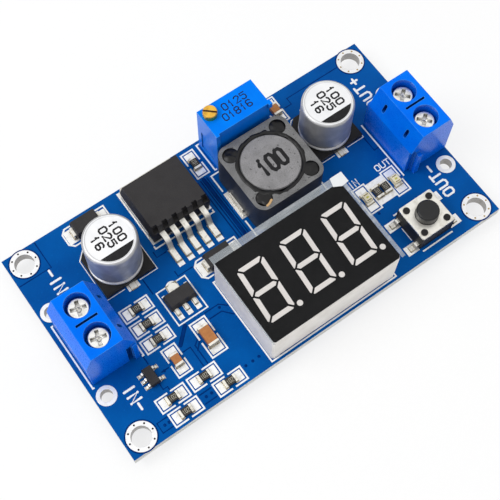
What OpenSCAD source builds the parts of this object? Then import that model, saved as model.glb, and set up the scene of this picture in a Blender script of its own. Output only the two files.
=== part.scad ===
/* [Board] */
// Thickness of the circuit board
board_t = 1.6; // [1.0:0.1:2.4]
// Diameter of the plated mounting holes
mount_hole_d = 3.0; // [2.6:0.1:3.4]
// Outer diameter of the tinned ring round a mounting hole
mount_ring_d = 4.36; // [4.2:0.02:4.4]
// Mounting hole centre to the board's end
mount_inset_x = 2.6; // [2.4:0.1:3.0]
// Mounting hole centre to the board's long edge
mount_inset_y = 2.25; // [2.2:0.05:2.6]
// Diameter of the plated holes for soldered wires
wire_hole_d = 1.84; // [1.2:0.02:2.2]
// Outer diameter of the pad round a wire hole
wire_pad_d = 3.0; // [2.6:0.1:3.4]
// Wire hole centre to the board's end
wire_inset = 1.8; // [1.8:0.05:2.4]
// Distance between the two wire holes at one end
wire_spread = 14.9; // [14.4:0.1:16]
// Thickness of the plating in a hole and on its rings
plating_t = 0.05; // [0.03:0.01:0.1]
// Thickness of a tinned solder land
land_t = 0.05; // [0.03:0.01:0.1]
// Thickness of the printed white lines
ink_t = 0.03; // [0.02:0.01:0.05]
// Width of the printed white lines
ink_w = 0.24; // [0.15:0.01:0.3]
// How far the cut pins stand out under the board
pin_drop = 1.6; // [1.2:0.1:2.4]

/* [Layout] */
// Input block's wire face to the board's input end
input_setback = 1.1; // [0.5:0.1:3]
// Output block's wire face to the board's output end
output_setback = 0.04; // [0:0.01:2]
// Input block's middle, measured from the board's centre line
input_block_shift = -0.5; // [-1:0.1:1]
// Output block's middle, measured from the board's centre line
output_block_shift = 0.1; // [-1:0.1:1]
// Gap between the input block and the input capacitor's base
block_cap_gap = 0.69; // [0.4:0.01:3]
// Gap between the input capacitor's base and the regulator
cap_regulator_gap = 1.86; // [1:0.01:5]
// Gap between the regulator and the inductor
regulator_inductor_gap = 3.65; // [3:0.05:6]
// Gap between the inductor and the output capacitor's base
inductor_cap_gap = 2.0; // [1:0.1:5]
// Gap between the output capacitor's base and the output block
cap_block_gap = 1.56; // [0.5:0.01:4]
// Display's front side to the board's front edge
display_margin = 0.69; // [0.4:0.01:2]
// Display film's edge to the inductor
film_inductor_gap = 1.4; // [0.6:0.1:4]
// Gap between the inductor and the trimmer
inductor_trimmer_gap = 0.76; // [0.4:0.01:3]
// Trimmer's back side to the board's back edge
trimmer_margin = 0.75; // [0.4:0.05:3]
// Regulator tab's end to the board's back edge
regulator_margin = 0.55; // [0.3:0.05:3]
// Input diode's back side to the board's back edge
diode_margin = 1.2; // [0.8:0.1:3]
// Gap between the input diode and the input capacitor's base
diode_cap_gap = 1.66; // [0.8:0.01:4]
// Gap between the small regulator's outline and the display
meter_display_gap = 2.86; // [1:0.01:6]
// Gap between the display film and the first status light's outline
film_light_gap = 2.5; // [1.5:0.1:6]

/* [Terminal blocks] */
// Distance between the two poles of a block
pole_pitch = 5.08; // [5.0:0.01:5.4]
// Depth of a block, from its wire face to its back
block_depth = 7.75; // [7.6:0.05:9]
// Height of a block
block_h = 9.75; // [9.6:0.05:11]
// How far the wire face leans in at the top
front_slope_w = 1.1; // [0.6:0.1:1.4]
// Height of the slope over the wire face
front_slope_h = 2.55; // [1.5:0.05:3]
// How far the back leans in at the top
back_slope_w = 1.57; // [1:0.01:1.7]
// Height of the slope over the back
back_slope_h = 3.7; // [2:0.1:4]
// Diameter of a screw's well
well_d = 3.7; // [3.5:0.05:3.9]
// Well's centre to the wire face
well_inset = 3.7; // [3.6:0.05:4]
// Diameter of a terminal screw's head
head_d = 3.1; // [2.8:0.1:3.3]
// Height of a terminal screw's head
head_h = 1.25; // [1:0.05:1.6]
// Diameter of a terminal screw's shank
shank_d = 2.5; // [2:0.1:2.6]
// Thickness of the shelf that a screw's head turns on
shelf_t = 0.5; // [0.4:0.05:0.7]
// Width of a clamp across the block
clamp_w = 3.9; // [3.7:0.05:4.1]
// Depth of a clamp from front to back
clamp_d = 4.0; // [3.6:0.05:4.2]
// Clamp's underside to the board, at rest
clamp_rest = 0.3; // [0.2:0.05:0.4]
// Thickness of a clamp's floor
clamp_floor_t = 0.6; // [0.5:0.05:0.7]
// Thickness of a clamp's threaded top
clamp_top_t = 1.0; // [0.8:0.05:1.1]
// Thickness of a clamp's side walls
clamp_wall = 0.55; // [0.4:0.05:0.65]
// Height that an open clamp leaves for the wire
wire_gap = 2.0; // [1.9:0.05:2.1]
// How far a clamp rises
clamp_travel = 1.9; // [1.5:0.05:1.9]
// Thickness of a block's contact bar
contact_t = 0.8; // [0.6:0.05:0.9]
// Width of a block's contact bar
contact_w = 2.4; // [2:0.1:2.5]
// Gap round a clamp and over a contact bar
slide_gap = 0.05; // [0.03:0.01:0.08]

/* [Capacitors] */
// Diameter of a capacitor's can
can_d = 8.1; // [7.6:0.1:8.2]
// Top of the can over the board
can_top = 8.55; // [6:0.05:12]
// Side of the square plastic base
cap_base_w = 8.3; // [8.3:0.1:9.5]
// Thickness of the plastic base
cap_base_t = 0.85; // [0.6:0.05:1.4]
// Corner cut off the base on the positive side
cap_base_cut = 1.3; // [0.8:0.1:2]
// Width of a capacitor's flat lead
cap_lead_w = 0.9; // [0.6:0.1:1.2]

/* [Inductor] */
// Side of the square ferrite shield
inductor_w = 11.9; // [11:0.1:14]
// Top of the inductor over the board
inductor_h = 7.1; // [6:0.1:9]
// Corner radius of the shield
inductor_corner_r = 1.7; // [1:0.1:2.2]
// Diameter of the shield's round opening
inductor_bore_d = 10.2; // [9.8:0.1:10.5]
// Diameter of the drum's top and bottom discs
drum_d = 9.06; // [8.4:0.02:9.6]
// Diameter of the winding's wire
winding_wire_d = 0.55; // [0.4:0.05:0.8]

/* [Regulator] */
// Width of the regulator's body
regulator_w = 10.1; // [9.6:0.1:11]
// Length of the regulator's body
regulator_l = 8.75; // [8.2:0.05:10]
// Height of the regulator's body
regulator_h = 4.5; // [4:0.1:5]
// Length of its metal tab past the body
tab_l = 1.25; // [0.8:0.05:2]
// Thickness of the metal tab
tab_t = 1.27; // [1:0.01:1.5]
// Distance between neighbouring leads
lead_pitch = 1.72; // [1.6:0.01:1.8]
// Width of a lead
lead_w = 0.85; // [0.6:0.05:1.0]
// Thickness of a lead
lead_t = 0.5; // [0.35:0.05:0.6]
// How far the leads reach out of the body
lead_reach = 4.35; // [3.8:0.05:5]
// Height of the leads where they leave the body
lead_exit_h = 2.45; // [2:0.05:2.8]

/* [Trimmer] */
// Length of the trimmer's case
trimmer_l = 9.55; // [9:0.05:10.5]
// Depth of the trimmer's case
trimmer_w = 4.79; // [4.6:0.01:5.4]
// Height of the trimmer's case
trimmer_h = 10.03; // [9.6:0.01:11]
// Wall of the trimmer's case
trimmer_wall = 0.5; // [0.4:0.05:0.55]
// Diameter of the adjusting screw's head
adjuster_d = 2.16; // [1.8:0.02:2.3]
// How far the adjusting screw stands out of the case
adjuster_proud = 1.0; // [0.6:0.05:1.4]
// Diameter of the adjusting screw's threaded stem
stem_d = 1.2; // [1.0:0.05:1.3]
// Adjusting screw's centre to the case's end and back
adjuster_inset = 1.35; // [1.3:0.05:1.5]
// Height of the sliding wiper
wiper_h = 1.4; // [1:0.1:1.5]

/* [Display] */
// Rim of the display past its outer digits' places, at each end
display_end_rim = 0.195; // [0.1:0.005:1.5]
// Rim of the display past its digits, at each long side
display_side_rim = 2.6; // [2.4:0.05:3.5]
// Height of the display
display_h = 7.57; // [7:0.01:9]
// Height of a digit
digit_h = 8.95; // [8:0.05:9.4]
// Width of a digit
digit_w = 4.45; // [4:0.05:4.6]
// Distance between neighbouring digits
digit_pitch = 7.17; // [7:0.01:7.3]
// Lean of the digits, in degrees
digit_lean = 4.1; // [0:0.1:8]
// Width of a segment
segment_w = 0.72; // [0.6:0.02:0.8]
// Diameter of a decimal point
point_d = 0.86; // [0.6:0.02:1]
// Thickness of the black face
face_t = 0.2; // [0.15:0.05:0.4]
// Thickness of the clear protective film
film_t = 0.1; // [0.05:0.05:0.2]
// How far the film stands over the display's back side
film_over_back = 1.06; // [0.6:0.02:2]
// How far the film stands over the display's end
film_over_end = 0.55; // [0.3:0.05:2]

/* [Push button] */
// Side of the square switch
switch_w = 5.9; // [5.7:0.1:6.2]
// Height of the switch's metal cover
switch_h = 3.4; // [3.2:0.1:4]
// Thickness of the metal cover
cover_t = 0.3; // [0.2:0.05:0.35]
// Diameter of the round button
button_d = 3.4; // [3:0.1:3.6]
// Top of the button over the board
button_top = 5.0; // [4.6:0.1:7]
// How far the button travels
button_travel = 0.25; // [0.2:0.05:0.3]
// Distance between the studs that hold the cover
stud_pitch = 4.2; // [4.1:0.05:4.4]

/* [Small parts] */
// Body of a small diode: length
diode_l = 4.2; // [3.9:0.1:4.6]
// Body of a small diode: width
diode_w = 2.6; // [2.4:0.1:2.9]
// Body of a small diode: height
diode_h = 2.15; // [1.8:0.05:2.4]
// Chip resistor: length
chip_l = 2.0; // [1.8:0.1:2.1]
// Chip resistor: width
chip_w = 1.15; // [1:0.05:1.25]
// Chip resistor: height
chip_h = 0.5; // [0.4:0.05:0.6]
// Small regulator's body: length
meter_l = 4.4; // [4.2:0.1:4.6]
// Small regulator's body: width
meter_w = 2.4; // [2.2:0.1:2.6]
// Small regulator's body: height
meter_h = 1.5; // [1.3:0.1:1.7]

/* [Hidden] */
$fn = 48;
eps = 0.02;

// Clearances and small details
round_fit = 0.05;      // radial clearance of a turning or sliding round part
seat_fit = 0.02;       // gap between a pin and what it is potted or soldered in
block_pin_w = 0.9;
block_pin_t = 0.6;
block_hole_d = 1.3;
thin_pin_d = 0.5;
thin_hole_d = 0.8;
frame_over_l = 1.45;   // printed frame's outer size past a chip's length, at each end
frame_over_w = 0.6;    // and past its width, at each side
frame_break = 0.5;     // gap in the frame's long sides
rail_out = 0.75;       // neighbour's rail on the side of a terminal block
ink_clear = 0.15;      // bare strip between print and what stands on the board
block_chip_gap = 0.78;
chip_meter_gap = 1.06;
chip_row_gap = 0.4;
cap_chip_gap = 2.58;
light_chip_gap = 0.15;
light_pair_gap = 0.35;
light_block_gap = 0.8;
light_inset = 2.2;
diode_display_gap = 0.4;
diode_regulator_gap = 0.9;
film_switch_gap = 3.1;
switch_inset = 4.75;
regulator_chip_gap = 1.08;
trimmer_chip_gap = 2.2;
trimmer_shift = 0.96;
output_cap_shift = -0.2;
catch_diode_shift = 1.5;
input_diode_shift = -0.5;

front_x = 9.1;         // chips at the front edge: first column
front_step_x = 5.3;    // second column
front_y = 1.55;        // front row
front_step_y = 2.65;   // back row
front_shift_a = 0.45;  // the front row stands further along in the first column
front_shift_b = 2.55;  // and in the second
feedback_chip_inset = 3.1;
trimmer_chip_inset = 2.65;
sense_x = 8.3;
sense_y = 8.4;
sense_cap_step = 4.25;
bulk_cap_drop = 7.2;
meter_drop = 2.1;
display_l = 3 * digit_pitch + 2 * display_end_rim;
display_w = digit_h + 2 * display_side_rim;

// Chip sizes: [length, width, height]
resistor = [chip_l, chip_w, chip_h];
small_cap = [2.0, 1.25, 0.85];
large_cap = [3.2, 1.6, 1.2];
light = [2.0, 1.25, 0.8];
function frame_l(chip) = chip[0] + 2 * frame_over_l;
function frame_w(chip) = chip[1] + 2 * frame_over_w;

// Printed outlines of the larger small parts
meter_frame_l = meter_l + 0.75;
meter_frame_w = meter_w + 3.7;
diode_frame_l = diode_l + 3.5;
diode_frame_w = diode_w + 0.85;

// Places along the board, from its input end
block_len = 2 * pole_pitch;
input_cap_x = input_setback + block_depth + block_cap_gap + cap_base_w / 2;
regulator_x = input_cap_x + cap_base_w / 2 + cap_regulator_gap + regulator_w / 2;
inductor_x = regulator_x + regulator_w / 2 + regulator_inductor_gap + inductor_w / 2;
output_cap_x = inductor_x + inductor_w / 2 + inductor_cap_gap + cap_base_w / 2;
divider_x = input_setback + block_depth + block_chip_gap + frame_l(resistor) / 2;
meter_x = divider_x + frame_l(resistor) / 2 + chip_meter_gap + meter_frame_l / 2;
display_x = meter_x + meter_frame_l / 2 + meter_display_gap;
film_end_x = display_x + display_l + film_over_end;
light_in_x = film_end_x + film_light_gap + frame_w(light) / 2;
light_chip_a_x = light_in_x + frame_w(light) / 2 + light_chip_gap + chip_w / 2;
light_chip_b_x = light_chip_a_x + chip_w + light_pair_gap;
light_out_x = light_chip_b_x + chip_w / 2 + light_chip_gap + frame_w(light) / 2;
output_block_back = max(output_cap_x + cap_base_w / 2 + cap_block_gap,
                        light_out_x + frame_w(light) / 2 + light_block_gap);
output_block_x = output_block_back + block_depth;
board_l = output_block_x + output_setback;
trimmer_x = inductor_x - inductor_w / 2 + trimmer_shift;

// Places across the board, from its front edge
catch_diode_x = regulator_x + catch_diode_shift;
input_diode_x = input_cap_x + input_diode_shift;
display_y = display_margin;
display_back = display_y + display_w;
film_back = display_back + film_over_back;
inductor_foot_w = 4.4;
inductor_y = film_back + film_inductor_gap + inductor_w / 2;
trimmer_y = inductor_y + inductor_w / 2 + inductor_trimmer_gap;
regulator_all_l = lead_reach + regulator_l + tab_l;
catch_diode_y = film_back + diode_display_gap + diode_w / 2;
lead_land_over = 0.8;
board_w = max(trimmer_y + trimmer_w + trimmer_margin,
              catch_diode_y + diode_w / 2 + diode_regulator_gap + lead_land_over
              + regulator_all_l + regulator_margin);
regulator_tab_end = board_w - regulator_margin;
regulator_back = regulator_tab_end - tab_l;
regulator_front = regulator_back - regulator_l;
input_diode_y = board_w - diode_margin - diode_w / 2;
input_cap_y = input_diode_y - diode_w / 2 - diode_cap_gap - cap_base_w / 2;
output_cap_y = input_cap_y + output_cap_shift;
divider_y = input_cap_y - cap_base_w / 2 - cap_chip_gap - frame_w(resistor) / 2;
divider_pitch = frame_w(resistor) + chip_row_gap;
meter_y = divider_y - meter_drop;
input_block_y = board_w / 2 + input_block_shift;
output_block_y = board_w / 2 + output_block_shift;
lights_y = display_back - light_inset;

// The switch, its leads and its lands
switch_lead_reach = 1.35;
switch_lead_pitch = 4.5;
switch_land_over = 0.7;
switch_x = film_end_x + film_switch_gap + switch_land_over + switch_lead_reach + switch_w / 2;
switch_y = switch_inset;

// Chips: [x, y, turn]
feedback_x = regulator_x + regulator_w / 2 + regulator_chip_gap + frame_w(resistor) / 2;
trimmer_cap_x = trimmer_x + trimmer_l + trimmer_chip_gap + frame_w(small_cap) / 2;
resistor_places = [
  for (row = [0:2]) [divider_x, divider_y - row * divider_pitch, 0],
  for (column = [0, 1]) [front_x + column * front_step_x, front_y + front_step_y, 0],
  [front_x + front_shift_a, front_y, 0],
  [front_x + front_step_x + front_shift_b, front_y, 0],
  [feedback_x, board_w - feedback_chip_inset, 90],
  [light_chip_a_x, lights_y, 90],
  [light_chip_b_x, lights_y, 90]
];
small_cap_places = [
  [sense_x + sense_cap_step, sense_y, 90],
  [trimmer_cap_x, board_w - trimmer_chip_inset, 90]
];
large_cap_places = [[meter_x, meter_y - bulk_cap_drop, 90]];
light_places = [[light_in_x, lights_y, 90], [light_out_x, lights_y, 90]];
lone_chips = len(resistor_places) - 2;
sense_l = 2.9;
sense_w = 1.5;
sense_h = 1.1;
sense_pitch = 0.95;
// Two leads on the display's side, three on the other: [side, y]
sense_leads = concat([for (i = [-1, 1]) [1, i * sense_pitch]],
                     [for (i = [-1:1]) [-1, i * sense_pitch]]);

// Controller chip under the display
controller_l = 6.5;
controller_w = 4.4;
controller_h = 1.0;
controller_pitch = 0.65;
controller_side = 10;  // leads along each long side

// Holes and pins
mount_places = [for (x = [mount_inset_x, board_l - mount_inset_x],
                     y = [mount_inset_y, board_w - mount_inset_y]) [x, y]];
wire_places = [
  for (side = [-1, 1]) [wire_inset, input_block_y + side * wire_spread / 2],
  for (side = [-1, 1]) [board_l - wire_inset, output_block_y + side * wire_spread / 2]
];
leg_u = well_inset + clamp_d / 2 + 0.2;
pin_u = leg_u + contact_t / 2;
block_pin_places = [
  for (side = [-1, 1]) [input_setback + pin_u, input_block_y + side * pole_pitch / 2],
  for (side = [-1, 1]) [output_block_x - pin_u, output_block_y + side * pole_pitch / 2]
];
pin_pitch = 2.54;
trimmer_mid = [trimmer_x + trimmer_l / 2, trimmer_y + trimmer_w / 2];
trimmer_pin_places = [for (i = [-1:1]) [trimmer_mid[0] + i * pin_pitch, trimmer_mid[1]]];
display_row = 2 * pin_pitch;
display_mid = [display_x + display_l / 2, display_y + display_w / 2];
display_pin_places = [for (row = [-1, 1], i = [0:5])
  [display_mid[0] + (i - 2.5) * pin_pitch, display_mid[1] + row * display_row]];
thin_pin_places = concat(trimmer_pin_places, display_pin_places);
pin_tip = -board_t - pin_drop;

// Heights inside a terminal block, over the board
contact_z = clamp_rest + clamp_floor_t + wire_gap;
clamp_h = clamp_floor_t + wire_gap + contact_t + slide_gap + clamp_top_t;
clamp_room_top = clamp_rest + clamp_h + clamp_travel + slide_gap;
head_z = clamp_room_top + shelf_t;
shank_tip_z = contact_z + contact_t + slide_gap;
screw_turn_in = -15;
screw_turn_out = 42;

// Heights inside the trimmer, over the board
trimmer_base_t = 0.7;
trimmer_base_z = 0.15;
stem_pit = 0.35;
trimmer_lip = 0.35;
trimmer_ear = 0.4;
adjuster_back = 0.1;   // screw is this much further from the back than from the end
wiper_travel = 3.35;
wiper_room = [trimmer_base_z + trimmer_base_t, trimmer_h - trimmer_wall];
wiper_z = (wiper_room[0] + wiper_room[1]) / 2;
element_t = 0.6;
adjuster_x = adjuster_inset;
adjuster_y = trimmer_w - adjuster_inset - adjuster_back;
adjuster_slot_turn = -42;

// Heights inside the display, over the board
display_recess = 3.0;
display_board_t = 1.0;
display_wall = 0.9;
face_cut = 0.9;

// Heights inside the switch, over the board
cover_z = switch_h - cover_t;
dome_top_z = 1.1;
dome_base_z = 0.7;
flange_t = 0.5;
flange_d = 4.2;
switch_room_d = 4.8;
stud_d = 0.76;
stud_head_d = 1.04;
stud_head_h = 0.16;

// ---------------------------------------------------------------- helpers

// A place on the board's top face, from its input end and front edge
module on_board(x, y, turn = 0)
  translate([x - board_l / 2, y - board_w / 2, board_t]) rotate(turn) children();

module at_each(places)
  for (p = places) on_board(p[0], p[1], p[2] == undef ? 0 : p[2]) children();

// A box that is centred across and stands on z
module slab(size, z = 0) translate([-size[0] / 2, -size[1] / 2, z]) cube(size);

module round_square(w, r) {
  square([w - 2 * r, w], center = true);
  square([w, w - 2 * r], center = true);
  for (x = [-1, 1], y = [-1, 1]) translate([x * (w / 2 - r), y * (w / 2 - r)]) circle(r);
}

function arc(x, y, r, from, to, steps = 4) =
  [for (i = [0:steps]) let (a = from + (to - from) * i / steps) [x + r * cos(a), y + r * sin(a)]];

// Outline of a bent lead in side view: out, down a slope and out again as a foot
function bent_lead(out, high, low, r, slope, reach, t, steps = 4) =
  let (run = (high - low - 2 * r * (1 - cos(slope))) / sin(slope),
       x2 = out + 2 * r * sin(slope) + run * cos(slope))
  concat(
    [[0, high + t / 2]],
    arc(out, high - r, r + t / 2, 90, 90 - slope, steps),
    arc(x2, low + r, r - t / 2, 270 - slope, 270, steps),
    [[reach, low + t / 2], [reach, low - t / 2]],
    arc(x2, low + r, r + t / 2, 270, 270 - slope, steps),
    arc(out, high - r, r - t / 2, 90 - slope, 90, steps),
    [[0, high - t / 2]]);

// A side-view outline made a strip of width w, along +X
module strip(outline, w) rotate([90, 0, 0]) linear_extrude(w, center = true) polygon(outline);

// A moulded body with sides that lean in above and below its parting line
module moulded(l, w, h, z, part_z, lean_up, lean_down, band) {
  intersection() {
    strip(lean_outline(l, h, z, part_z, lean_up, lean_down, band), w + 1);
    rotate(90) strip(lean_outline(w, h, z, part_z, lean_up, lean_down, band), l + 1);
  }
}
function lean_outline(l, h, z, part_z, up, down, band) = [
  [-l / 2 + down, z], [l / 2 - down, z], [l / 2, part_z - band / 2], [l / 2, part_z + band / 2],
  [l / 2 - up, h], [-l / 2 + up, h], [-l / 2, part_z + band / 2], [-l / 2, part_z - band / 2]];

// ---------------------------------------------------------------- board

module circuit_board() {
  color("#1257a8")
  difference() {
    translate([-board_l / 2, -board_w / 2, 0]) cube([board_l, board_w, board_t]);
    translate([0, 0, -board_t / 2]) {
      at_each(mount_places) hole(mount_hole_d + 2 * plating_t);
      at_each(wire_places) hole(wire_hole_d + 2 * plating_t);
      at_each(block_pin_places) hole(block_hole_d);
      at_each(thin_pin_places) hole(thin_hole_d);
    }
  }
}
module hole(d) translate([0, 0, -board_t]) cylinder(d = d, h = 2 * board_t);

// A plated hole: a tube through the board with a flat ring at each end
module eyelet(hole_d, ring_d) {
  inner = hole_d / 2;
  outer = ring_d / 2;
  translate([0, 0, -board_t]) rotate_extrude() polygon([
    [inner, -plating_t], [outer, -plating_t], [outer, 0], [inner + plating_t, 0],
    [inner + plating_t, board_t], [outer, board_t], [outer, board_t + plating_t],
    [inner, board_t + plating_t]]);
}

module plated_holes() {
  color("#d9dcdf") {
    at_each(mount_places) eyelet(mount_hole_d, mount_ring_d);
    at_each(wire_places) eyelet(wire_hole_d, wire_pad_d);
  }
}

// ---------------------------------------------------------------- solder lands

land_end_gap = 0.1;    // land's end to the printed frame's end
land_over = 0.35;      // land's extra width, and its middle past the chip's end

module chip_lands(chip) {
  land = [frame_over_l - land_end_gap, chip[1] + land_over];
  for (side = [-1, 1]) translate([side * (chip[0] / 2 + land_over), 0]) square(land, center = true);
}

module diode_lands() {
  for (side = [-1, 1]) translate([side * (diode_l / 2 + 0.4), 0])
    square([2.1, diode_w - 0.25], center = true);
}

module capacitor_lands() {
  for (side = [-1, 1]) translate([0, side * (cap_base_w / 2 - 0.35)])
    square([cap_lead_w + 1.0, 2.6], center = true);
}

module inductor_lands() {
  for (side = [-1, 1]) translate([side * (inductor_w / 2 - 0.1), 0])
    square([1.8, inductor_foot_w + 0.6], center = true);
}

module regulator_lands() {
  for (i = [-2:2]) translate([i * lead_pitch, -lead_reach + 0.8])
    square([lead_w + 0.17, 2 * lead_land_over + 1.6], center = true);
  translate([0, (regulator_l + tab_l) / 2])
    square([regulator_w + 0.35, regulator_l + tab_l + 0.1], center = true);
}

module meter_lands() {
  for (i = [-1:1]) translate([i * 1.5, -meter_w / 2 - 0.7]) square([0.85, 2.1], center = true);
  translate([0, meter_w / 2]) square([1.9, 1.6], center = true);
  translate([0, meter_w / 2 + 0.8]) circle(0.95);
}

module sense_lands() {
  for (p = sense_leads) translate([p[0] * (sense_w / 2 + 0.45), p[1]])
    square([0.85, 0.62], center = true);
}

module switch_lands() {
  for (x = [-1, 1], y = [-1, 1])
    translate([x * (switch_w / 2 + switch_lead_reach - 0.3), y * switch_lead_pitch / 2])
      square([2 * switch_land_over + 0.6, 1.55], center = true);
}

module controller_lands() {
  for (side = [-1, 1], i = [0:controller_side - 1])
    translate([(i - (controller_side - 1) / 2) * controller_pitch, side * (controller_w / 2 + 0.75)])
      square([0.36, 1.1], center = true);
}

module flat_at(x, y, turn = 0)
  translate([x - board_l / 2, y - board_w / 2]) rotate(turn) children();
module flat_each(places) for (p = places) flat_at(p[0], p[1], p[2]) children();

module all_lands() {
  flat_each(resistor_places) chip_lands(resistor);
  flat_each(small_cap_places) chip_lands(small_cap);
  flat_each(large_cap_places) chip_lands(large_cap);
  flat_each(light_places) chip_lands(light);
  flat_at(catch_diode_x, catch_diode_y) diode_lands();
  flat_at(input_diode_x, input_diode_y) diode_lands();
  flat_at(input_cap_x, input_cap_y) capacitor_lands();
  flat_at(output_cap_x, output_cap_y) capacitor_lands();
  flat_at(inductor_x, inductor_y) inductor_lands();
  flat_at(regulator_x, regulator_front) regulator_lands();
  flat_at(meter_x, meter_y) meter_lands();
  flat_at(sense_x, sense_y) sense_lands();
  flat_at(switch_x, switch_y) switch_lands();
  flat_at(display_mid[0], display_mid[1]) controller_lands();
}

module solder_lands() {
  color("#e4e4e0") translate([0, 0, board_t]) linear_extrude(land_t) all_lands();
}

// ---------------------------------------------------------------- printed outlines

module ring_line(l, w, line = ink_w) {
  difference() {
    square([l, w], center = true);
    square([l - 2 * line, w - 2 * line], center = true);
  }
}

// Two brackets, one round each end of a chip
module chip_frame(chip) {
  difference() {
    ring_line(frame_l(chip), frame_w(chip));
    square([frame_break, frame_w(chip) + 1], center = true);
  }
}

// A diode's frame, with the corners cut at its banded end
module diode_frame() {
  cut = 0.75;
  difference() {
    frame_outline(diode_frame_l, diode_frame_w, cut);
    frame_outline(diode_frame_l - 2 * ink_w, diode_frame_w - 2 * ink_w, cut - ink_w * 0.4);
    square([diode_l - 0.2, diode_frame_w + 1], center = true);
  }
}
module frame_outline(l, w, cut) polygon([
  [-l / 2 + cut, -w / 2], [l / 2, -w / 2], [l / 2, w / 2], [-l / 2 + cut, w / 2],
  [-l / 2, w / 2 - cut], [-l / 2, -w / 2 + cut]]);

module cap_outline(w, cut) polygon([
  [-w / 2, -w / 2], [w / 2, -w / 2], [w / 2, w / 2 - cut], [w / 2 - cut, w / 2],
  [-w / 2 + cut, w / 2], [-w / 2, w / 2 - cut]]);

module cap_frame() {
  difference() {
    cap_outline(cap_base_w + 0.5, cap_base_cut);
    cap_outline(cap_base_w + 0.5 - ink_w, cap_base_cut);
    square([cap_lead_w + 1.6, cap_base_w + 2], center = true);
  }
}

module regulator_frame() {
  over = 0.5;
  translate([-regulator_w / 2 - 0.3, -0.85]) {
    square([regulator_w + over, ink_w]);
    square([ink_w, 0.6]);
    translate([regulator_w + over - ink_w, 0]) square([ink_w, 0.6]);
  }
}

module meter_frame() {
  translate([0, -0.5]) ring_line(meter_frame_l, meter_frame_w, ink_w * 0.85);
  for (side = [-1, 1]) translate([side * (meter_l / 2 - 0.3), meter_w / 2]) square([0.5, 0.8], center = true);
}

module inductor_frame() {
  difference() {
    ring_line(inductor_w + 1.4, inductor_w + 0.4);
    square([inductor_w + 3, inductor_foot_w + 1.4], center = true);
  }
}

module switch_frame() {
  for (side = [-1, 1]) translate([0, side * (switch_w / 2 + 0.55)])
    square([switch_w - 0.3, ink_w], center = true);
  for (side = [-1, 1]) translate([side * (switch_w / 2 + 0.12), 0])
    square([ink_w / 2, switch_lead_pitch - 2.1], center = true);
}

module all_ink() {
  flat_each([for (i = [0:lone_chips - 1]) resistor_places[i]]) chip_frame(resistor);
  flat_each(small_cap_places) chip_frame(small_cap);
  flat_each(large_cap_places) chip_frame(large_cap);
  flat_each(light_places) chip_frame(light);
  flat_at((light_in_x + light_out_x) / 2, lights_y)
    ring_line(light_out_x - light_in_x - frame_w(light) + 2 * ink_w, frame_l(resistor) - 1.5);
  flat_at(catch_diode_x, catch_diode_y) diode_frame();
  flat_at(input_diode_x, input_diode_y) diode_frame();
  flat_at(input_cap_x, input_cap_y) cap_frame();
  flat_at(output_cap_x, output_cap_y) cap_frame();
  flat_at(inductor_x, inductor_y) inductor_frame();
  flat_at(regulator_x, regulator_front) regulator_frame();
  flat_at(meter_x, meter_y) meter_frame();
  flat_at(switch_x, switch_y) switch_frame();
  flat_at(display_mid[0], display_mid[1]) ring_line(display_l + 0.6, display_w + 0.6);
  flat_at(trimmer_x + trimmer_l / 2, trimmer_y + trimmer_w / 2)
    ring_line(trimmer_l + 1.1, trimmer_w + 0.5);
  flat_at(input_setback + block_depth / 2, input_block_y) ring_line(block_depth + 0.9, block_len + 1.1);
  flat_at(output_block_x - block_depth / 2, output_block_y)
    translate([-block_depth / 2 - 0.4, 0]) square([ink_w, block_len + 0.4], center = true);
}

// What stands flat on the board, so that no ink lies under it
module standing() {
  flat_at(input_setback + block_depth / 2, input_block_y)
    square([block_depth + ink_clear, block_len + 2 * rail_out + ink_clear], center = true);
  flat_at(output_block_x - block_depth / 2, output_block_y)
    square([block_depth + ink_clear, block_len + 2 * rail_out + ink_clear], center = true);
  flat_at(display_mid[0], display_mid[1])
    square([display_l + ink_clear, display_w + ink_clear], center = true);
  flat_at(trimmer_x + trimmer_l / 2 + trimmer_ear / 2, trimmer_y + trimmer_w / 2 - trimmer_lip / 2)
    square([trimmer_l + trimmer_ear + ink_clear, trimmer_w + trimmer_lip + ink_clear], center = true);
}

module silkscreen() {
  color("white") translate([0, 0, board_t]) linear_extrude(ink_t) intersection() {
    difference() {
      all_ink();
      all_lands();
      standing();
      flat_each([for (p = mount_places) [p[0], p[1], 0]]) circle(mount_ring_d / 2 + ink_clear);
      flat_each([for (p = wire_places) [p[0], p[1], 0]]) circle(wire_pad_d / 2 + ink_clear);
    }
    square([board_l, board_w], center = true);
  }
}

// ---------------------------------------------------------------- terminal blocks

rail_u = 6.4;
rail_w = 0.6;
rail_flare = 0.1;
rail_h = 5.4;
strip_u = 6.9;
strip_w = 0.75;
strip_out = 0.35;
wire_entry_w = 3.4;
well_margin = 0.15;    // shelf hole round the screw's shank
divider_w = 0.35;
divider_l = 3.4;
divider_depth = 0.8;
test_slot_w = 0.55;
test_slot_h = 1.5;
test_slot_depth = 0.7;

block_side = [
  [0, 0], [0, block_h - front_slope_h], [front_slope_w, block_h],
  [block_depth - back_slope_w, block_h], [block_depth, block_h - back_slope_h], [block_depth, 0]
];

// Dovetail rail that joins a block to its neighbour
module rail(grow = 0) {
  root = rail_w / 2 + grow;
  tip = rail_w / 2 + rail_flare + grow;
  polygon([[-root, -eps], [root, -eps], [tip, rail_out + grow], [-tip, rail_out + grow]]);
}

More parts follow.
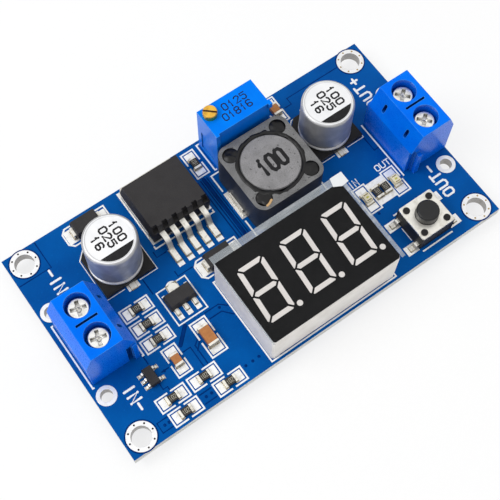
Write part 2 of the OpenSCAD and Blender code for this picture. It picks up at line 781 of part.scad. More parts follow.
// Wire face at u = 0, poles to each side of the middle
module block_housing() {
  difference() {
    union() {
      rotate([90, 0, 0]) linear_extrude(block_len, center = true) polygon(block_side);
      translate([rail_u, block_len / 2, 0]) linear_extrude(rail_h) rail();
      translate([strip_u, -block_len / 2 - strip_out, 0])
        cube([strip_w, strip_out + eps, block_h - back_slope_h]);
    }
    translate([rail_u, -block_len / 2, -1]) linear_extrude(rail_h + round_fit + 1) {
      rail(round_fit);
      translate([0, -0.5]) square([rail_w + 2 * round_fit, 1.2], center = true);
    }
    translate([strip_u - round_fit, block_len / 2 - strip_out, -1])
      cube([block_depth, 1, block_h - back_slope_h + round_fit + 1]);
    translate([(block_depth + front_slope_w - back_slope_w) / 2, 0, 0])
      slab([divider_l, divider_w, block_h], block_h - divider_depth);
    for (side = [-1, 1]) translate([0, side * pole_pitch / 2, 0]) pole_cuts();
  }
}

// Room for one pole's clamp, contact, screw, wire and test probe
module pole_cuts() {
  slot_u = block_depth - back_slope_w / 2 - test_slot_depth;
  slot_z = block_h - back_slope_h / 2 - 0.1;
  translate([well_inset, 0, 0])
    slab([clamp_d + 2 * slide_gap, clamp_w + 2 * slide_gap, clamp_room_top + 1], -1);
  translate([well_inset, -contact_w / 2 - slide_gap, -1])
    cube([leg_u + contact_t + slide_gap - well_inset, contact_w + 2 * slide_gap,
          contact_z + contact_t + slide_gap + 1]);
  translate([-1, -wire_entry_w / 2, clamp_rest + clamp_floor_t / 2])
    cube([well_inset, wire_entry_w, clamp_floor_t / 2 + wire_gap + contact_t / 2]);
  translate([well_inset, 0, clamp_room_top - eps]) cylinder(r = shank_d / 2 + well_margin, h = shelf_t + 1);
  translate([well_inset, 0, head_z]) cylinder(d = well_d, h = block_h);
  translate([slot_u, 0, slot_z]) rotate([90, 0, 90]) linear_extrude(block_depth) {
    square([test_slot_w, test_slot_h - test_slot_w], center = true);
    for (end = [-1, 1]) translate([0, end * (test_slot_h - test_slot_w) / 2]) circle(d = test_slot_w);
  }
}

module in_block(pole) translate([0, pole * pole_pitch / 2, 0]) children();
module at_input() on_board(input_setback, input_block_y) children();
module at_output() on_board(output_block_x, output_block_y, 180) children();

module input_terminal_housing() {
  color("#0a63e6") at_input() block_housing();
}
module output_terminal_housing() {
  color("#0a63e6") at_output() block_housing();
}

// Contact bar over the wire, bent down behind the clamp and cut to a pin
module contact() {
  bar_u = well_inset - clamp_d / 2 + 0.2;
  translate([bar_u, -contact_w / 2, contact_z]) cube([leg_u + contact_t - bar_u, contact_w, contact_t]);
  translate([leg_u, -contact_w / 2, 0]) cube([contact_t, contact_w, contact_z + eps]);
  translate([pin_u, 0, 0]) slab([block_pin_t, block_pin_w, -pin_tip + eps], pin_tip);
}
module terminal_contacts() {
  color("#cfc9b8") for (pole = [-1, 1]) {
    at_input() in_block(pole) contact();
    at_output() in_block(pole) contact();
  }
}

recess_l = 2.3;
recess_w = 0.58;
recess_depth = 0.6;
recess_pit_d = 1.1;

// Cheese-headed screw with a crossed recess, its shank ending over the contact bar
module terminal_screw(turn) {
  edge = 0.15;
  translate([well_inset, 0, 0]) rotate(turn) difference() {
    rotate_extrude() polygon([
      [0, shank_tip_z], [shank_d / 2 - edge, shank_tip_z], [shank_d / 2, shank_tip_z + edge],
      [shank_d / 2, head_z], [head_d / 2, head_z], [head_d / 2, head_z + head_h - edge],
      [head_d / 2 - edge, head_z + head_h], [0, head_z + head_h]]);
    for (arm = [0, 90]) rotate(arm) slab([recess_l, recess_w, head_h], head_z + head_h - recess_depth);
    translate([0, 0, head_z + head_h - recess_depth]) cylinder(d = recess_pit_d, h = head_h);
    translate([0, 0, head_z + head_h - recess_depth - 0.3]) cylinder(d1 = 0.4, d2 = 0.9, h = 0.3 + eps);
  }
}
screw_metal = "#d6d6d2";
module input_screw_plus() color(screw_metal) at_input() in_block(1) terminal_screw(screw_turn_in);
module input_screw_minus() color(screw_metal) at_input() in_block(-1) terminal_screw(screw_turn_in);
module output_screw_plus() color(screw_metal) at_output() in_block(-1) terminal_screw(screw_turn_out);
module output_screw_minus() color(screw_metal) at_output() in_block(1) terminal_screw(screw_turn_out);

// Rising clamp: a cage that the screw draws up against the contact bar
module clamp() {
  translate([well_inset, 0, 0]) difference() {
    slab([clamp_d, clamp_w, clamp_h], clamp_rest);
    slab([clamp_d + 1, clamp_w - 2 * clamp_wall, clamp_h - clamp_floor_t - clamp_top_t],
         clamp_rest + clamp_floor_t);
    translate([0, 0, clamp_rest + clamp_floor_t + wire_gap])
      cylinder(r = shank_d / 2 + round_fit, h = clamp_h);
  }
}
clamp_metal = "#c8c2ac";
module input_clamp_plus() color(clamp_metal) at_input() in_block(1) clamp();
module input_clamp_minus() color(clamp_metal) at_input() in_block(-1) clamp();
module output_clamp_plus() color(clamp_metal) at_output() in_block(-1) clamp();
module output_clamp_minus() color(clamp_metal) at_output() in_block(1) clamp();

// Solder cones that hold the cut pins under the board
cone_h = 1.0;
block_cone_r = 1.15;
block_cone_tip_r = 0.7;
thin_cone_r = 0.8;
thin_cone_tip_r = 0.38;
module pin_solder() {
  color("#b9bcc0") translate([0, 0, -board_t - cone_h]) {
    at_each(block_pin_places) difference() {
      cylinder(r1 = block_cone_tip_r, r2 = block_cone_r, h = cone_h);
      slab([block_pin_t + 2 * seat_fit, block_pin_w + 2 * seat_fit, 3 * cone_h], -cone_h);
    }
    at_each(thin_pin_places) difference() {
      cylinder(r1 = thin_cone_tip_r, r2 = thin_cone_r, h = cone_h);
      translate([0, 0, -cone_h]) cylinder(d = thin_pin_d + 2 * seat_fit, h = 3 * cone_h);
    }
  }
}

// ---------------------------------------------------------------- capacitors

lead_strip_t = 0.2;
cap_lead_out = 0.95;
cap_bottom = land_t + cap_base_t;

module cap_can() {
  r = can_d / 2;
  rim_h = 0.45;
  waist_d = 0.3;
  waist_h = 0.35;
  round_r = 0.45;
  rotate_extrude() polygon(concat(
    [[0, cap_bottom], [r - 0.2, cap_bottom], [r, cap_bottom + 0.12], [r, cap_bottom + rim_h - 0.1],
     [r - waist_d, cap_bottom + rim_h + 0.05], [r - waist_d, cap_bottom + rim_h + waist_h],
     [r - 0.06, cap_bottom + rim_h + 2 * waist_h]],
    arc(r - 0.06 - round_r, can_top - round_r, round_r, 0, 90, 5),
    [[r - 0.06 - round_r - 0.15, can_top - 0.05], [0, can_top - 0.05]]));
}
module cap_base() {
  groove = [cap_lead_w + 2 * seat_fit, cap_base_w + 1];
  difference() {
    translate([0, 0, land_t]) linear_extrude(cap_base_t) cap_outline(cap_base_w, cap_base_cut);
    slab([groove[0], groove[1], land_t + lead_strip_t + seat_fit]);
  }
}
module cap_leads() {
  l = cap_base_w / 2 + cap_lead_out - 0.9;
  for (side = [-1, 1]) translate([0, side * (0.9 + l / 2), 0]) slab([cap_lead_w, l, lead_strip_t], land_t);
}
module at_input_cap() on_board(input_cap_x, input_cap_y) children();
module at_output_cap() on_board(output_cap_x, output_cap_y) children();
module input_capacitor_can() color("#c9ccd0") at_input_cap() cap_can();
module output_capacitor_can() color("#c9ccd0") at_output_cap() cap_can();
module input_capacitor_base() color("#1c1c1c") at_input_cap() cap_base();
module output_capacitor_base() color("#1c1c1c") at_output_cap() cap_base();
module capacitor_leads() {
  color("#d8d8d4") at_input_cap() cap_leads();
  color("#d8d8d4") at_output_cap() cap_leads();
}

// ---------------------------------------------------------------- inductor

inductor_foot_z = land_t + lead_strip_t;
pocket_depth = 1.05;
pocket_r = 1.25;
pocket_at = 4.15;
drum_disc_t = 1.1;
drum_core_d = 5.2;
winding_turns = 7;

module at_inductor() on_board(inductor_x, inductor_y) children();

// Square ferrite frame round the drum, with a glue pocket at each corner
module inductor_shield() {
  color("#4a4a4c") at_inductor() difference() {
    translate([0, 0, inductor_foot_z]) linear_extrude(inductor_h - inductor_foot_z) difference() {
      round_square(inductor_w, inductor_corner_r);
      circle(d = inductor_bore_d);
    }
    for (x = [-1, 1], y = [-1, 1]) translate([x * pocket_at, y * pocket_at, inductor_h - pocket_depth])
      cylinder(r = pocket_r, h = pocket_depth + 1);
  }
}
module inductor_drum() {
  r = drum_d / 2;
  edge = 0.15;
  color("#77777a") at_inductor() rotate_extrude() polygon([
    [0, inductor_foot_z], [r, inductor_foot_z], [r, inductor_foot_z + drum_disc_t],
    [drum_core_d / 2, inductor_foot_z + drum_disc_t], [drum_core_d / 2, inductor_h - drum_disc_t],
    [r, inductor_h - drum_disc_t], [r, inductor_h - edge], [r - edge, inductor_h], [0, inductor_h]]);
}
// Outer layer of turns shows as a row of rounds between the drum's discs
module inductor_winding() {
  low = inductor_foot_z + drum_disc_t + seat_fit;
  high = inductor_h - drum_disc_t - seat_fit;
  pitch = (high - low) / winding_turns;
  inner = drum_core_d / 2 + seat_fit;
  outer = drum_d / 2 - winding_wire_d;
  color("#a8622b") at_inductor() rotate_extrude() polygon(concat(
    [[inner, high], [inner, low]],
    [for (i = [0:winding_turns - 1], a = [-60, 0, 60])
      [outer + cos(a) * winding_wire_d / 2, low + (i + 0.5) * pitch + sin(a) * pitch / 2]]));
}
// Each terminal is a foot under the shield with a leg bent up its side
inductor_foot_l = 3.0;
inductor_foot_out = 0.45;
inductor_leg_gap = 0.05;
inductor_leg_h = 0.9;
inductor_leg_w = 3.4;
module inductor_terminals() {
  color("#dcdcd8") at_inductor() for (side = [-1, 1]) {
    translate([side * (inductor_w / 2 + inductor_foot_out - inductor_foot_l / 2), 0, 0])
      slab([inductor_foot_l, inductor_foot_w, lead_strip_t], land_t);
    translate([side * (inductor_w / 2 + inductor_leg_gap + lead_strip_t / 2), 0, 0])
      slab([lead_strip_t, inductor_leg_w, inductor_leg_h], inductor_foot_z - eps);
  }
}

// ---------------------------------------------------------------- regulator

module at_regulator() on_board(regulator_x, regulator_front) children();
regulator_notch = 0.7;     // depth of the steps in the front top edge, between the leads
regulator_lean_up = 0.35;
regulator_lean_down = 0.2;
regulator_band = 0.1;      // parting band, past the thickness of a lead
tab_start = 1.4;           // front edge of the metal tab under the body
tab_corner_w = 0.55;
tab_corner_l = 0.1;
lead_straight = 0.95;
lead_bend_r = 0.7;
lead_slope = 72;

module regulator_body() {
  color("#232324") at_regulator() difference() {
    translate([0, regulator_l / 2, 0]) rotate(90)
      moulded(regulator_l, regulator_w, regulator_h, land_t, lead_exit_h,
              regulator_lean_up, regulator_lean_down, lead_t + regulator_band);
    // the metal tab fills this step in the underside
    translate([0, tab_start + regulator_l / 2, 0]) slab([regulator_w + 1, regulator_l, tab_t]);
    for (i = [-3:2]) translate([(i + 0.5) * lead_pitch, 0, 0])
      slab([lead_pitch - lead_w - 2 * seat_fit, 2 * regulator_notch, regulator_h], lead_exit_h + lead_t);
  }
}
module regulator_tab() {
  front = tab_start + seat_fit;
  w = regulator_w / 2;
  color("#d2d4d6") at_regulator() translate([0, 0, land_t]) linear_extrude(tab_t - land_t - seat_fit)
    polygon([[-w, front], [w, front], [w, regulator_l + tab_corner_l],
             [w - tab_corner_w, regulator_l + tab_l], [-w + tab_corner_w, regulator_l + tab_l],
             [-w, regulator_l + tab_corner_l]]);
}
module regulator_leads() {
  side = bent_lead(lead_straight, lead_exit_h, land_t + lead_t / 2, lead_bend_r, lead_slope,
                   lead_reach, lead_t, 5);
  color("#dfdfdb") at_regulator() for (i = [-2:2]) translate([i * lead_pitch, 0, 0])
    rotate(-90) strip(side, lead_w);
}

// ---------------------------------------------------------------- trimmer

module at_trimmer() on_board(trimmer_x, trimmer_y) children();

module trimmer_case() {
  ear_h = 1.1;
  room = [trimmer_l - 2 * trimmer_wall, trimmer_w - 2 * trimmer_wall, trimmer_h - trimmer_wall + 1];
  color("#0a74e8") at_trimmer() difference() {
    union() {
      cube([trimmer_l, trimmer_w, trimmer_h]);
      translate([0, -trimmer_lip, 0]) cube([0.6, trimmer_lip + eps, trimmer_h]);
      translate([trimmer_l - 0.3, -trimmer_lip + 0.05, trimmer_h - ear_h])
        cube([trimmer_ear + 0.2, 0.9, ear_h]);
    }
    translate([trimmer_wall, trimmer_wall, -1]) cube(room);
    translate([adjuster_x, adjuster_y, 0]) cylinder(r = stem_d / 2 + round_fit, h = trimmer_h + 1);
    // shallow panel in the end under the adjusting screw
    translate([-1, 0.9, 0.8]) cube([1 + trimmer_wall / 3, trimmer_w - 1.8, trimmer_h / 2 - 0.4]);
  }
}
module trimmer_base() {
  in = trimmer_wall + seat_fit;
  color("#e6e2d2") at_trimmer() difference() {
    translate([in, in, trimmer_base_z]) cube([trimmer_l - 2 * in, trimmer_w - 2 * in, trimmer_base_t]);
    translate([adjuster_x, adjuster_y, stem_pit + trimmer_base_z])
      cylinder(r = stem_d / 2 + round_fit, h = 1);
    for (i = [-1:1]) translate([trimmer_l / 2 + i * pin_pitch, trimmer_w / 2, 0])
      cylinder(d = thin_pin_d + 2 * seat_fit, h = 1);
  }
}
// Slotted brass head on a threaded stem
module trimmer_screw() {
  edge = 0.12;
  tip = trimmer_base_z + stem_pit;
  color("#d6a53c") at_trimmer() translate([adjuster_x, adjuster_y, 0]) rotate(adjuster_slot_turn)
    difference() {
      rotate_extrude() polygon([
        [0, tip], [stem_d / 2, tip], [stem_d / 2, trimmer_h], [adjuster_d / 2, trimmer_h],
        [adjuster_d / 2, trimmer_h + adjuster_proud - edge],
        [adjuster_d / 2 - edge, trimmer_h + adjuster_proud], [0, trimmer_h + adjuster_proud]]);
      slab([adjuster_d + 1, 0.3, 1], trimmer_h + adjuster_proud - 0.4);
    }
}
// Block that rides on the stem and slides along the element
module trimmer_wiper() {
  x0 = trimmer_wall + round_fit;
  y0 = trimmer_wall + seat_fit + element_t + round_fit;
  color("#c9a14a") at_trimmer() difference() {
    translate([x0, y0, wiper_z - wiper_h / 2])
      cube([3.4, trimmer_w - trimmer_wall - round_fit - y0, wiper_h]);
    translate([adjuster_x, adjuster_y, 0]) cylinder(r = stem_d / 2 + round_fit, h = trimmer_h);
  }
}
module trimmer_element() {
  in = trimmer_wall + seat_fit;
  color("#efeee6") at_trimmer() translate([in, in, wiper_room[0]])
    cube([trimmer_l - 2 * in, element_t, wiper_room[1] - wiper_room[0] - seat_fit]);
}
module trimmer_pins() {
  color("#d8d8d4") at_each(trimmer_pin_places)
    translate([0, 0, pin_tip]) cylinder(d = thin_pin_d, h = -pin_tip + trimmer_base_z + trimmer_base_t);
}

// ---------------------------------------------------------------- display

module at_display() on_board(display_mid[0], display_mid[1]) children();

corner_cut = 0.3;
digits_shift = [-0.1, -0.06];
half_w = digit_w / 2;
half_h = digit_h / 2;
point_out = 0.415;     // decimal point's centre past the digit's right side
point_up = 0.145;      // and over its foot
mitre_gap = 0.21;
blunt = 0.13;
blunt_end = 0.16;
middle_gap = 0.15;     // upright's end to the digit's middle line
middle_tip = 0.4;      // middle segment's tip to the digit's side

function leaned(points, sx, sy) = [for (p = points) [sx * p[0] + sy * p[1] * tan(digit_lean), sy * p[1]]];

// Across the top, blunt at its outer corners and mitred to the uprights
function top_segment(g) =
  let (a = half_w - mitre_gap - blunt, b = half_w - mitre_gap - segment_w)
  [[-a + blunt_end, half_h + g], [a - blunt_end, half_h + g], [a + g, half_h - blunt],
   [b + g, half_h - segment_w - g], [-b - g, half_h - segment_w - g], [-a - g, half_h - blunt]];
// One upright, from its mitre at the top down to the middle
function side_segment(g) =
  let (a = half_h - mitre_gap - blunt, b = half_h - mitre_gap - segment_w)
  [[half_w + g, a - blunt_end], [half_w - blunt, a + g], [half_w - segment_w - g, b + g],
   [half_w - segment_w - g, segment_w + g], [half_w - blunt, middle_gap - g], [half_w + g, middle_gap - g]];
function middle_segment(g) =
  let (tip = half_w - middle_tip + g, y = segment_w / 2 + g)
  [[-tip, 0], [y - tip, y], [tip - y, y], [tip, 0], [tip - y, -y], [y - tip, -y]];

module digit(g = 0) {
  for (sy = [-1, 1]) polygon(leaned(top_segment(g), 1, sy));
  for (sx = [-1, 1], sy = [-1, 1]) polygon(leaned(side_segment(g), sx, sy));
  polygon(leaned(middle_segment(g), 1, 1));
  translate([half_w + point_out, point_up - half_h]) circle(point_d / 2 + g);
}
module digits(g = 0) {
  for (i = [-1:1]) translate([digits_shift[0] + i * digit_pitch, digits_shift[1]]) digit(g);
}

// Rectangle with small cut corners along its front
module display_outline(l, w) polygon([
  [-l / 2 + corner_cut, -w / 2], [l / 2 - corner_cut, -w / 2], [l / 2, -w / 2 + corner_cut], [l / 2, w / 2],
  [-l / 2, w / 2], [-l / 2, -w / 2 + corner_cut]]);

module display_housing() {
  color("#e8e8e4") at_display() difference() {
    linear_extrude(display_h - face_t) display_outline(display_l, display_w);
    slab([display_l - 2 * display_wall, display_w - 2 * display_wall, display_recess + 1], -1);
    translate([0, 0, display_recess - 1]) linear_extrude(display_h) digits(seat_fit);
    slab([display_l - 2.6, display_w + 1, 1 + 0.3], -1);
  }
}
module display_face() {
  color("#161616") at_display() translate([0, 0, display_h - face_t]) linear_extrude(face_t) difference() {
    display_outline(display_l - 0.1, display_w - 0.1);
    digits(seat_fit);
  }
}
module display_segments() {
  color("#dcdad4") at_display() translate([0, 0, display_recess]) linear_extrude(display_h - display_recess)
    digits();
}
module display_board() {
  in = display_wall + seat_fit;
  color("#2c6b3a") at_display() difference() {
    slab([display_l - 2 * in, display_w - 2 * in, display_board_t], display_recess - display_board_t);
    for (row = [-1, 1], i = [0:5]) translate([(i - 2.5) * pin_pitch, row * display_row, 0])
      cylinder(d = thin_pin_d + 2 * seat_fit, h = display_h);
  }
}
module display_pins() {
  color("#d8d8d4") at_each(display_pin_places)
    translate([0, 0, pin_tip]) cylinder(d = thin_pin_d, h = display_recess - pin_tip);
}
// Thin clear film, larger than the display at its back and one end
module display_film() {
  under = 0.15;
  color("#c8d8e8", 0.35) at_display() translate([-display_l / 2 - under, -display_w / 2 - under, display_h])
    cube([display_l + under + film_over_end, display_w + under + film_over_back, film_t]);
}
// White corner for pulling the film off
module film_tab() {
  x = display_l / 2 + film_over_end;
  y = display_w / 2 + film_over_back;
  color("#f2f2ee") at_display() translate([x, y, display_h + film_t]) linear_extrude(film_t)
    polygon([[-1.55, 0.05], [0.45, 0.05], [0.45, -1.75], [-0.75, -1.9], [-1.95, -1.25]]);
}
// Controller chip on the board under the display
controller_z = land_t + 0.1;
controller_exit = controller_z + controller_h / 2;
fine_lead_t = 0.15;
fine_lead_slope = 75;
controller_lead_w = 0.25;
controller_lead_out = 1.0;
module controller_body() {
  color("#1d1d1e") at_display() moulded(controller_l, controller_w, controller_z + controller_h,
                                        controller_z, controller_exit, 0.12, 0.12, fine_lead_t);
}
module controller_leads() {
  side = bent_lead(fine_lead_t, controller_exit, land_t + fine_lead_t / 2, fine_lead_t,
                   fine_lead_slope, controller_lead_out, fine_lead_t, 2);
  middle = (controller_side - 1) / 2;
  color("#d8d8d4") at_display() for (turn = [0, 180], i = [0:controller_side - 1]) rotate(turn)
    translate([(i - middle) * controller_pitch, controller_w / 2, 0])
      rotate(90) strip(side, controller_lead_w);
}

// ---------------------------------------------------------------- push button

module at_switch() on_board(switch_x, switch_y) children();
module at_studs() {
  for (x = [-1, 1], y = [-1, 1]) translate([x * stud_pitch / 2, y * stud_pitch / 2, 0]) children();
}

module switch_base() {
  color("#141414") at_switch() {
    difference() {
      slab([switch_w, switch_w, cover_z]);
      translate([0, 0, dome_base_z]) cylinder(d = switch_room_d, h = switch_h);
    }
    // studs go through the cover and are pressed into heads on it
    at_studs() {
      translate([0, 0, cover_z - eps]) cylinder(d = stud_d, h = cover_t + 2 * eps);
      translate([0, 0, switch_h]) cylinder(d = stud_head_d, h = stud_head_h);
    }
  }
}
module switch_cover() {
  color("#dedbd0") at_switch() translate([0, 0, cover_z]) linear_extrude(cover_t) difference() {
    round_square(switch_w, 0.3);
    circle(d = button_d + 2 * round_fit);
    at_studs() circle(d = stud_d + 2 * seat_fit);
  }
}
module switch_button() {
  r = button_d / 2;
  boss = 0.8;
  edge = 0.3;
  flange_top = cover_z - round_fit;
  color("#1b1b1b") at_switch() rotate_extrude() polygon(concat(
    [[0, dome_top_z], [boss, dome_top_z], [boss, flange_top - flange_t],
     [flange_d / 2, flange_top - flange_t], [flange_d / 2, flange_top], [r, flange_top]],
    arc(r - edge, button_top - edge, edge, 0, 90, 4), [[0, button_top]]));
}
// Snap dome: a thin curved disc that the button flattens
module switch_dome() {
  r = flange_d / 2;
  sag = dome_top_z - dome_base_z;
  dome_t = 0.1;
  color("#cfd1d2") at_switch() rotate_extrude() polygon(concat(
    [for (i = [0:6]) [r * i / 6, dome_top_z - sag * pow(i / 6, 2) + (i == 6 ? dome_t : 0)]],
    [[r, dome_base_z]],
    [for (i = [5:-1:0]) [r * i / 6, dome_top_z - dome_t - (sag - dome_t) * pow(i / 6, 2)]]));
}
switch_lead_out = 0.3;
switch_lead_z = 0.9;
switch_bend_r = 0.22;
switch_lead_slope = 78;
switch_lead_w = 0.7;
module switch_leads() {
  side = bent_lead(switch_lead_out, switch_lead_z, land_t + lead_strip_t / 2, switch_bend_r,
                   switch_lead_slope, switch_lead_reach, lead_strip_t, 3);
  color("#d8d8d4") at_switch() for (turn = [0, 180], y = [-1, 1]) rotate(turn)
    translate([switch_w / 2, y * switch_lead_pitch / 2, 0]) strip(side, switch_lead_w);
}

// ---------------------------------------------------------------- small parts

diode_part_z = 1.2;
module diode_body() {
  moulded(diode_l, diode_w, diode_h, land_t + lead_strip_t + seat_fit, diode_part_z, 0.18, 0.1, 0.3);
}
// Leads come out at half height, go down and turn in under the body
diode_lead_out = 0.42;
diode_lead_under = 0.9;
diode_lead_w = 1.5;
module diode_leads() {
  out = diode_lead_out;
  under = -diode_lead_under;
  t = lead_strip_t;
  side = [[0, diode_part_z + t / 2], [out, diode_part_z + t / 2], [out, land_t], [under, land_t],
          [under, land_t + t], [out - t, land_t + t], [out - t, diode_part_z - t / 2],
          [0, diode_part_z - t / 2]];
  for (turn = [0, 180]) rotate(turn) translate([diode_l / 2, 0, 0]) strip(side, diode_lead_w);
}
module input_diode_body() color("#222222") on_board(input_diode_x, input_diode_y) diode_body();
module input_diode_leads() color("#d8d8d4") on_board(input_diode_x, input_diode_y) diode_leads();
module catch_diode_body() color("#222222") on_board(catch_diode_x, catch_diode_y) diode_body();
module catch_diode_leads() color("#d8d8d4") on_board(catch_diode_x, catch_diode_y) diode_leads();

meter_lead_t = 0.4;
meter_lead_pitch = 1.5;
module meter_regulator_body() {
  color("#262523") on_board(meter_x, meter_y)
    moulded(meter_l, meter_w, meter_h, land_t, land_t + meter_lead_t / 2, 0.2, 0, meter_lead_t);
}
module meter_regulator_leads() {
  lead = [0.45, 0.95];
  tab_r = 0.8;
  color("#dcdcd8") on_board(meter_x, meter_y) {
    for (i = [-1:1]) translate([i * meter_lead_pitch, -meter_w / 2 - lead[1] / 2, 0])
      slab([lead[0], lead[1], meter_lead_t - 0.1], land_t);
    translate([0, meter_w / 2, land_t]) linear_extrude(meter_lead_t - 0.1) intersection() {
      union() {
        translate([0, 0.2]) square([2 * tab_r, 0.8], center = true);
        translate([0, 0.5]) circle(tab_r);
      }
      translate([-meter_l / 2, 0]) square(meter_l);
    }
  }
}
sense_z = land_t + 0.07;
sense_exit = sense_z + sense_h * 0.45;
sense_lead_out = 0.7;
sense_lead_w = 0.4;
module sense_chip_body() {
  color("#1f1f20") on_board(sense_x, sense_y)
    moulded(sense_w, sense_l, sense_z + sense_h, sense_z, sense_exit, 0.12, 0.1, 0.18);
}
module sense_chip_leads() {
  side = bent_lead(0.12, sense_exit, land_t + fine_lead_t / 2, fine_lead_t, fine_lead_slope,
                   sense_lead_out, fine_lead_t, 2);
  color("#d8d8d4") on_board(sense_x, sense_y) for (p = sense_leads)
    translate([p[0] * sense_w / 2, p[1], 0]) rotate(p[0] > 0 ? 0 : 180) strip(side, sense_lead_w);
}

end_cap = 0.35;
cap_over = 0.02;       // a chip's end cap is this much larger than its body
module chip_body(chip) slab([chip[0] - 2 * end_cap, chip[1], chip[2]], land_t + cap_over);
module chip_ends(chip) for (side = [-1, 1]) translate([side * (chip[0] - end_cap) / 2, 0, 0])
  slab([end_cap, chip[1] + 2 * cap_over, chip[2] + 2 * cap_over], land_t);

module chip_resistors() color("#1e1e1e") at_each(resistor_places) chip_body(resistor);
module chip_capacitors() {
  color("#b5713a") {
    at_each(small_cap_places) chip_body(small_cap);
    at_each(large_cap_places) chip_body(large_cap);
  }
}
module chip_end_caps() {
  color("#dcdcd8") {
    at_each(resistor_places) chip_ends(resistor);
    at_each(small_cap_places) chip_ends(small_cap);
    at_each(large_cap_places) chip_ends(large_cap);
    at_each(light_places) chip_ends([light[0], light[1], 0.3]);
  }
}
// A pale base with a clear lens moulded on it
module status_lights() {
  lens = [1.3, 1.15, 0.5];
  color("#efe9cf") at_each(light_places) {
    chip_body([light[0], light[1], 0.3]);
    slab(lens, land_t + cap_over + 0.3 - eps);
  }
}

// ---------------------------------------------------------------- assembly

circuit_board();
plated_holes();
solder_lands();
silkscreen();
pin_solder();
input_terminal_housing();
output_terminal_housing();
terminal_contacts();
input_screw_plus();
input_screw_minus();
output_screw_plus();
output_screw_minus();
input_clamp_plus();
input_clamp_minus();
output_clamp_plus();
output_clamp_minus();
input_capacitor_can();
input_capacitor_base();
output_capacitor_can();
output_capacitor_base();
capacitor_leads();
inductor_shield();
inductor_drum();
inductor_winding();
inductor_terminals();
regulator_body();
regulator_tab();
regulator_leads();
trimmer_case();
trimmer_base();
trimmer_screw();
trimmer_wiper();
trimmer_element();
trimmer_pins();
display_housing();
display_face();
display_segments();
display_board();
display_pins();
display_film();
film_tab();
controller_body();
controller_leads();
switch_base();
switch_cover();
switch_button();
switch_dome();
switch_leads();
input_diode_body();
input_diode_leads();
catch_diode_body();
catch_diode_leads();
meter_regulator_body();
meter_regulator_leads();
sense_chip_body();
sense_chip_leads();
chip_resistors();
chip_capacitors();
chip_end_caps();
status_lights();
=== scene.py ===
# %% [markdown]
# A buck converter is a small circuit board that turns a higher voltage into a
# lower one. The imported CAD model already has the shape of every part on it,
# so this script gives the parts their finishes and adds what is too thin or
# too fine for CAD: ink, traces, solder beads and glue. It starts by loading
# that model as a fixed frame.

# %% Load the frame
import math
import bmesh
import bpy
from mathutils import Euler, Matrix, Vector


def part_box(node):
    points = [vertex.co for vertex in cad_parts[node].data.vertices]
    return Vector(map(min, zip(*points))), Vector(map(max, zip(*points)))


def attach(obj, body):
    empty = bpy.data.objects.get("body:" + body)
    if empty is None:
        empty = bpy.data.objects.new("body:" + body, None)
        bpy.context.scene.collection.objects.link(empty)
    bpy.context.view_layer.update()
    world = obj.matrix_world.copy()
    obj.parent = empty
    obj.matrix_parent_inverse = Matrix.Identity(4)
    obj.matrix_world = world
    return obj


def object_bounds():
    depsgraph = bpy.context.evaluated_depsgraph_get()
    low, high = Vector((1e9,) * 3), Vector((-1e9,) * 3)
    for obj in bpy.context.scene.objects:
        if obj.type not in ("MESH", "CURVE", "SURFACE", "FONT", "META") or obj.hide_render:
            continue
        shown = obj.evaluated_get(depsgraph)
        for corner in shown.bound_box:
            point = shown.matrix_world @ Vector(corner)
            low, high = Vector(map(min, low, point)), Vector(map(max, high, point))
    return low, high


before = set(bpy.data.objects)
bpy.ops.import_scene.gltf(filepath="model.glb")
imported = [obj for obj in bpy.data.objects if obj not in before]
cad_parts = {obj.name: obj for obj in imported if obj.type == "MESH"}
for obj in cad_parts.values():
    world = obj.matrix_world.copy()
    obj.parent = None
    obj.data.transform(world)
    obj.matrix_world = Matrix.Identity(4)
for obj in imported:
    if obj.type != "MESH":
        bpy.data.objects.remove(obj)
cad_low, cad_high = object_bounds()
scene = bpy.context.scene

# %% [markdown]
# Everything on a circuit board is placed from the board's corner and its top
# face. Measuring both from the board's own box keeps every later place right
# if the board moves, so one small helper turns board millimetres into metres.

# %% Places on the board
MM = 0.001
board_low, board_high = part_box("circuit_board")
land_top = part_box("solder_lands")[1].z


def on_board(x, y, height=0.0):
    """Millimetres from the input end, the front edge and the board's top."""
    corner = Vector((board_low.x, board_low.y, board_high.z))
    return corner + Vector((x, y, height)) * MM


print("board, mm:", [round(v / MM, 2) for v in board_high - board_low])

# %% [markdown]
# A product camera with a long lens keeps the edges of a small part nearly
# parallel. Its place and turn are written once, in metres and radians, and
# nothing else depends on them.

# %% The camera
CAMERA_AT = (-0.036656, -0.048366, 0.144211)
CAMERA_TURN = (0.388, -0.009, -0.619)
CAMERA_LENS, CAMERA_SENSOR, NEAREST = 75.573, 36, 0.001

camera = bpy.data.objects.new("camera", bpy.data.cameras.new("camera"))
camera.location = CAMERA_AT
camera.rotation_euler = Euler(CAMERA_TURN, "XYZ")
camera.data.sensor_width = CAMERA_SENSOR
camera.data.lens = CAMERA_LENS
camera.data.clip_start = NEAREST
scene.collection.objects.link(camera)
scene.camera = camera
scene.view_settings.view_transform = "Standard"
print("lens:", camera.data.lens, "mm")

# %% [markdown]
# Shader sums read best as plain Python. One small class holds a socket and
# lets it be added, multiplied or compared: each operator adds its own Math
# node. A second class wraps a node tree and has the one method that makes
# every other node, for shaders and for Geometry Nodes alike.

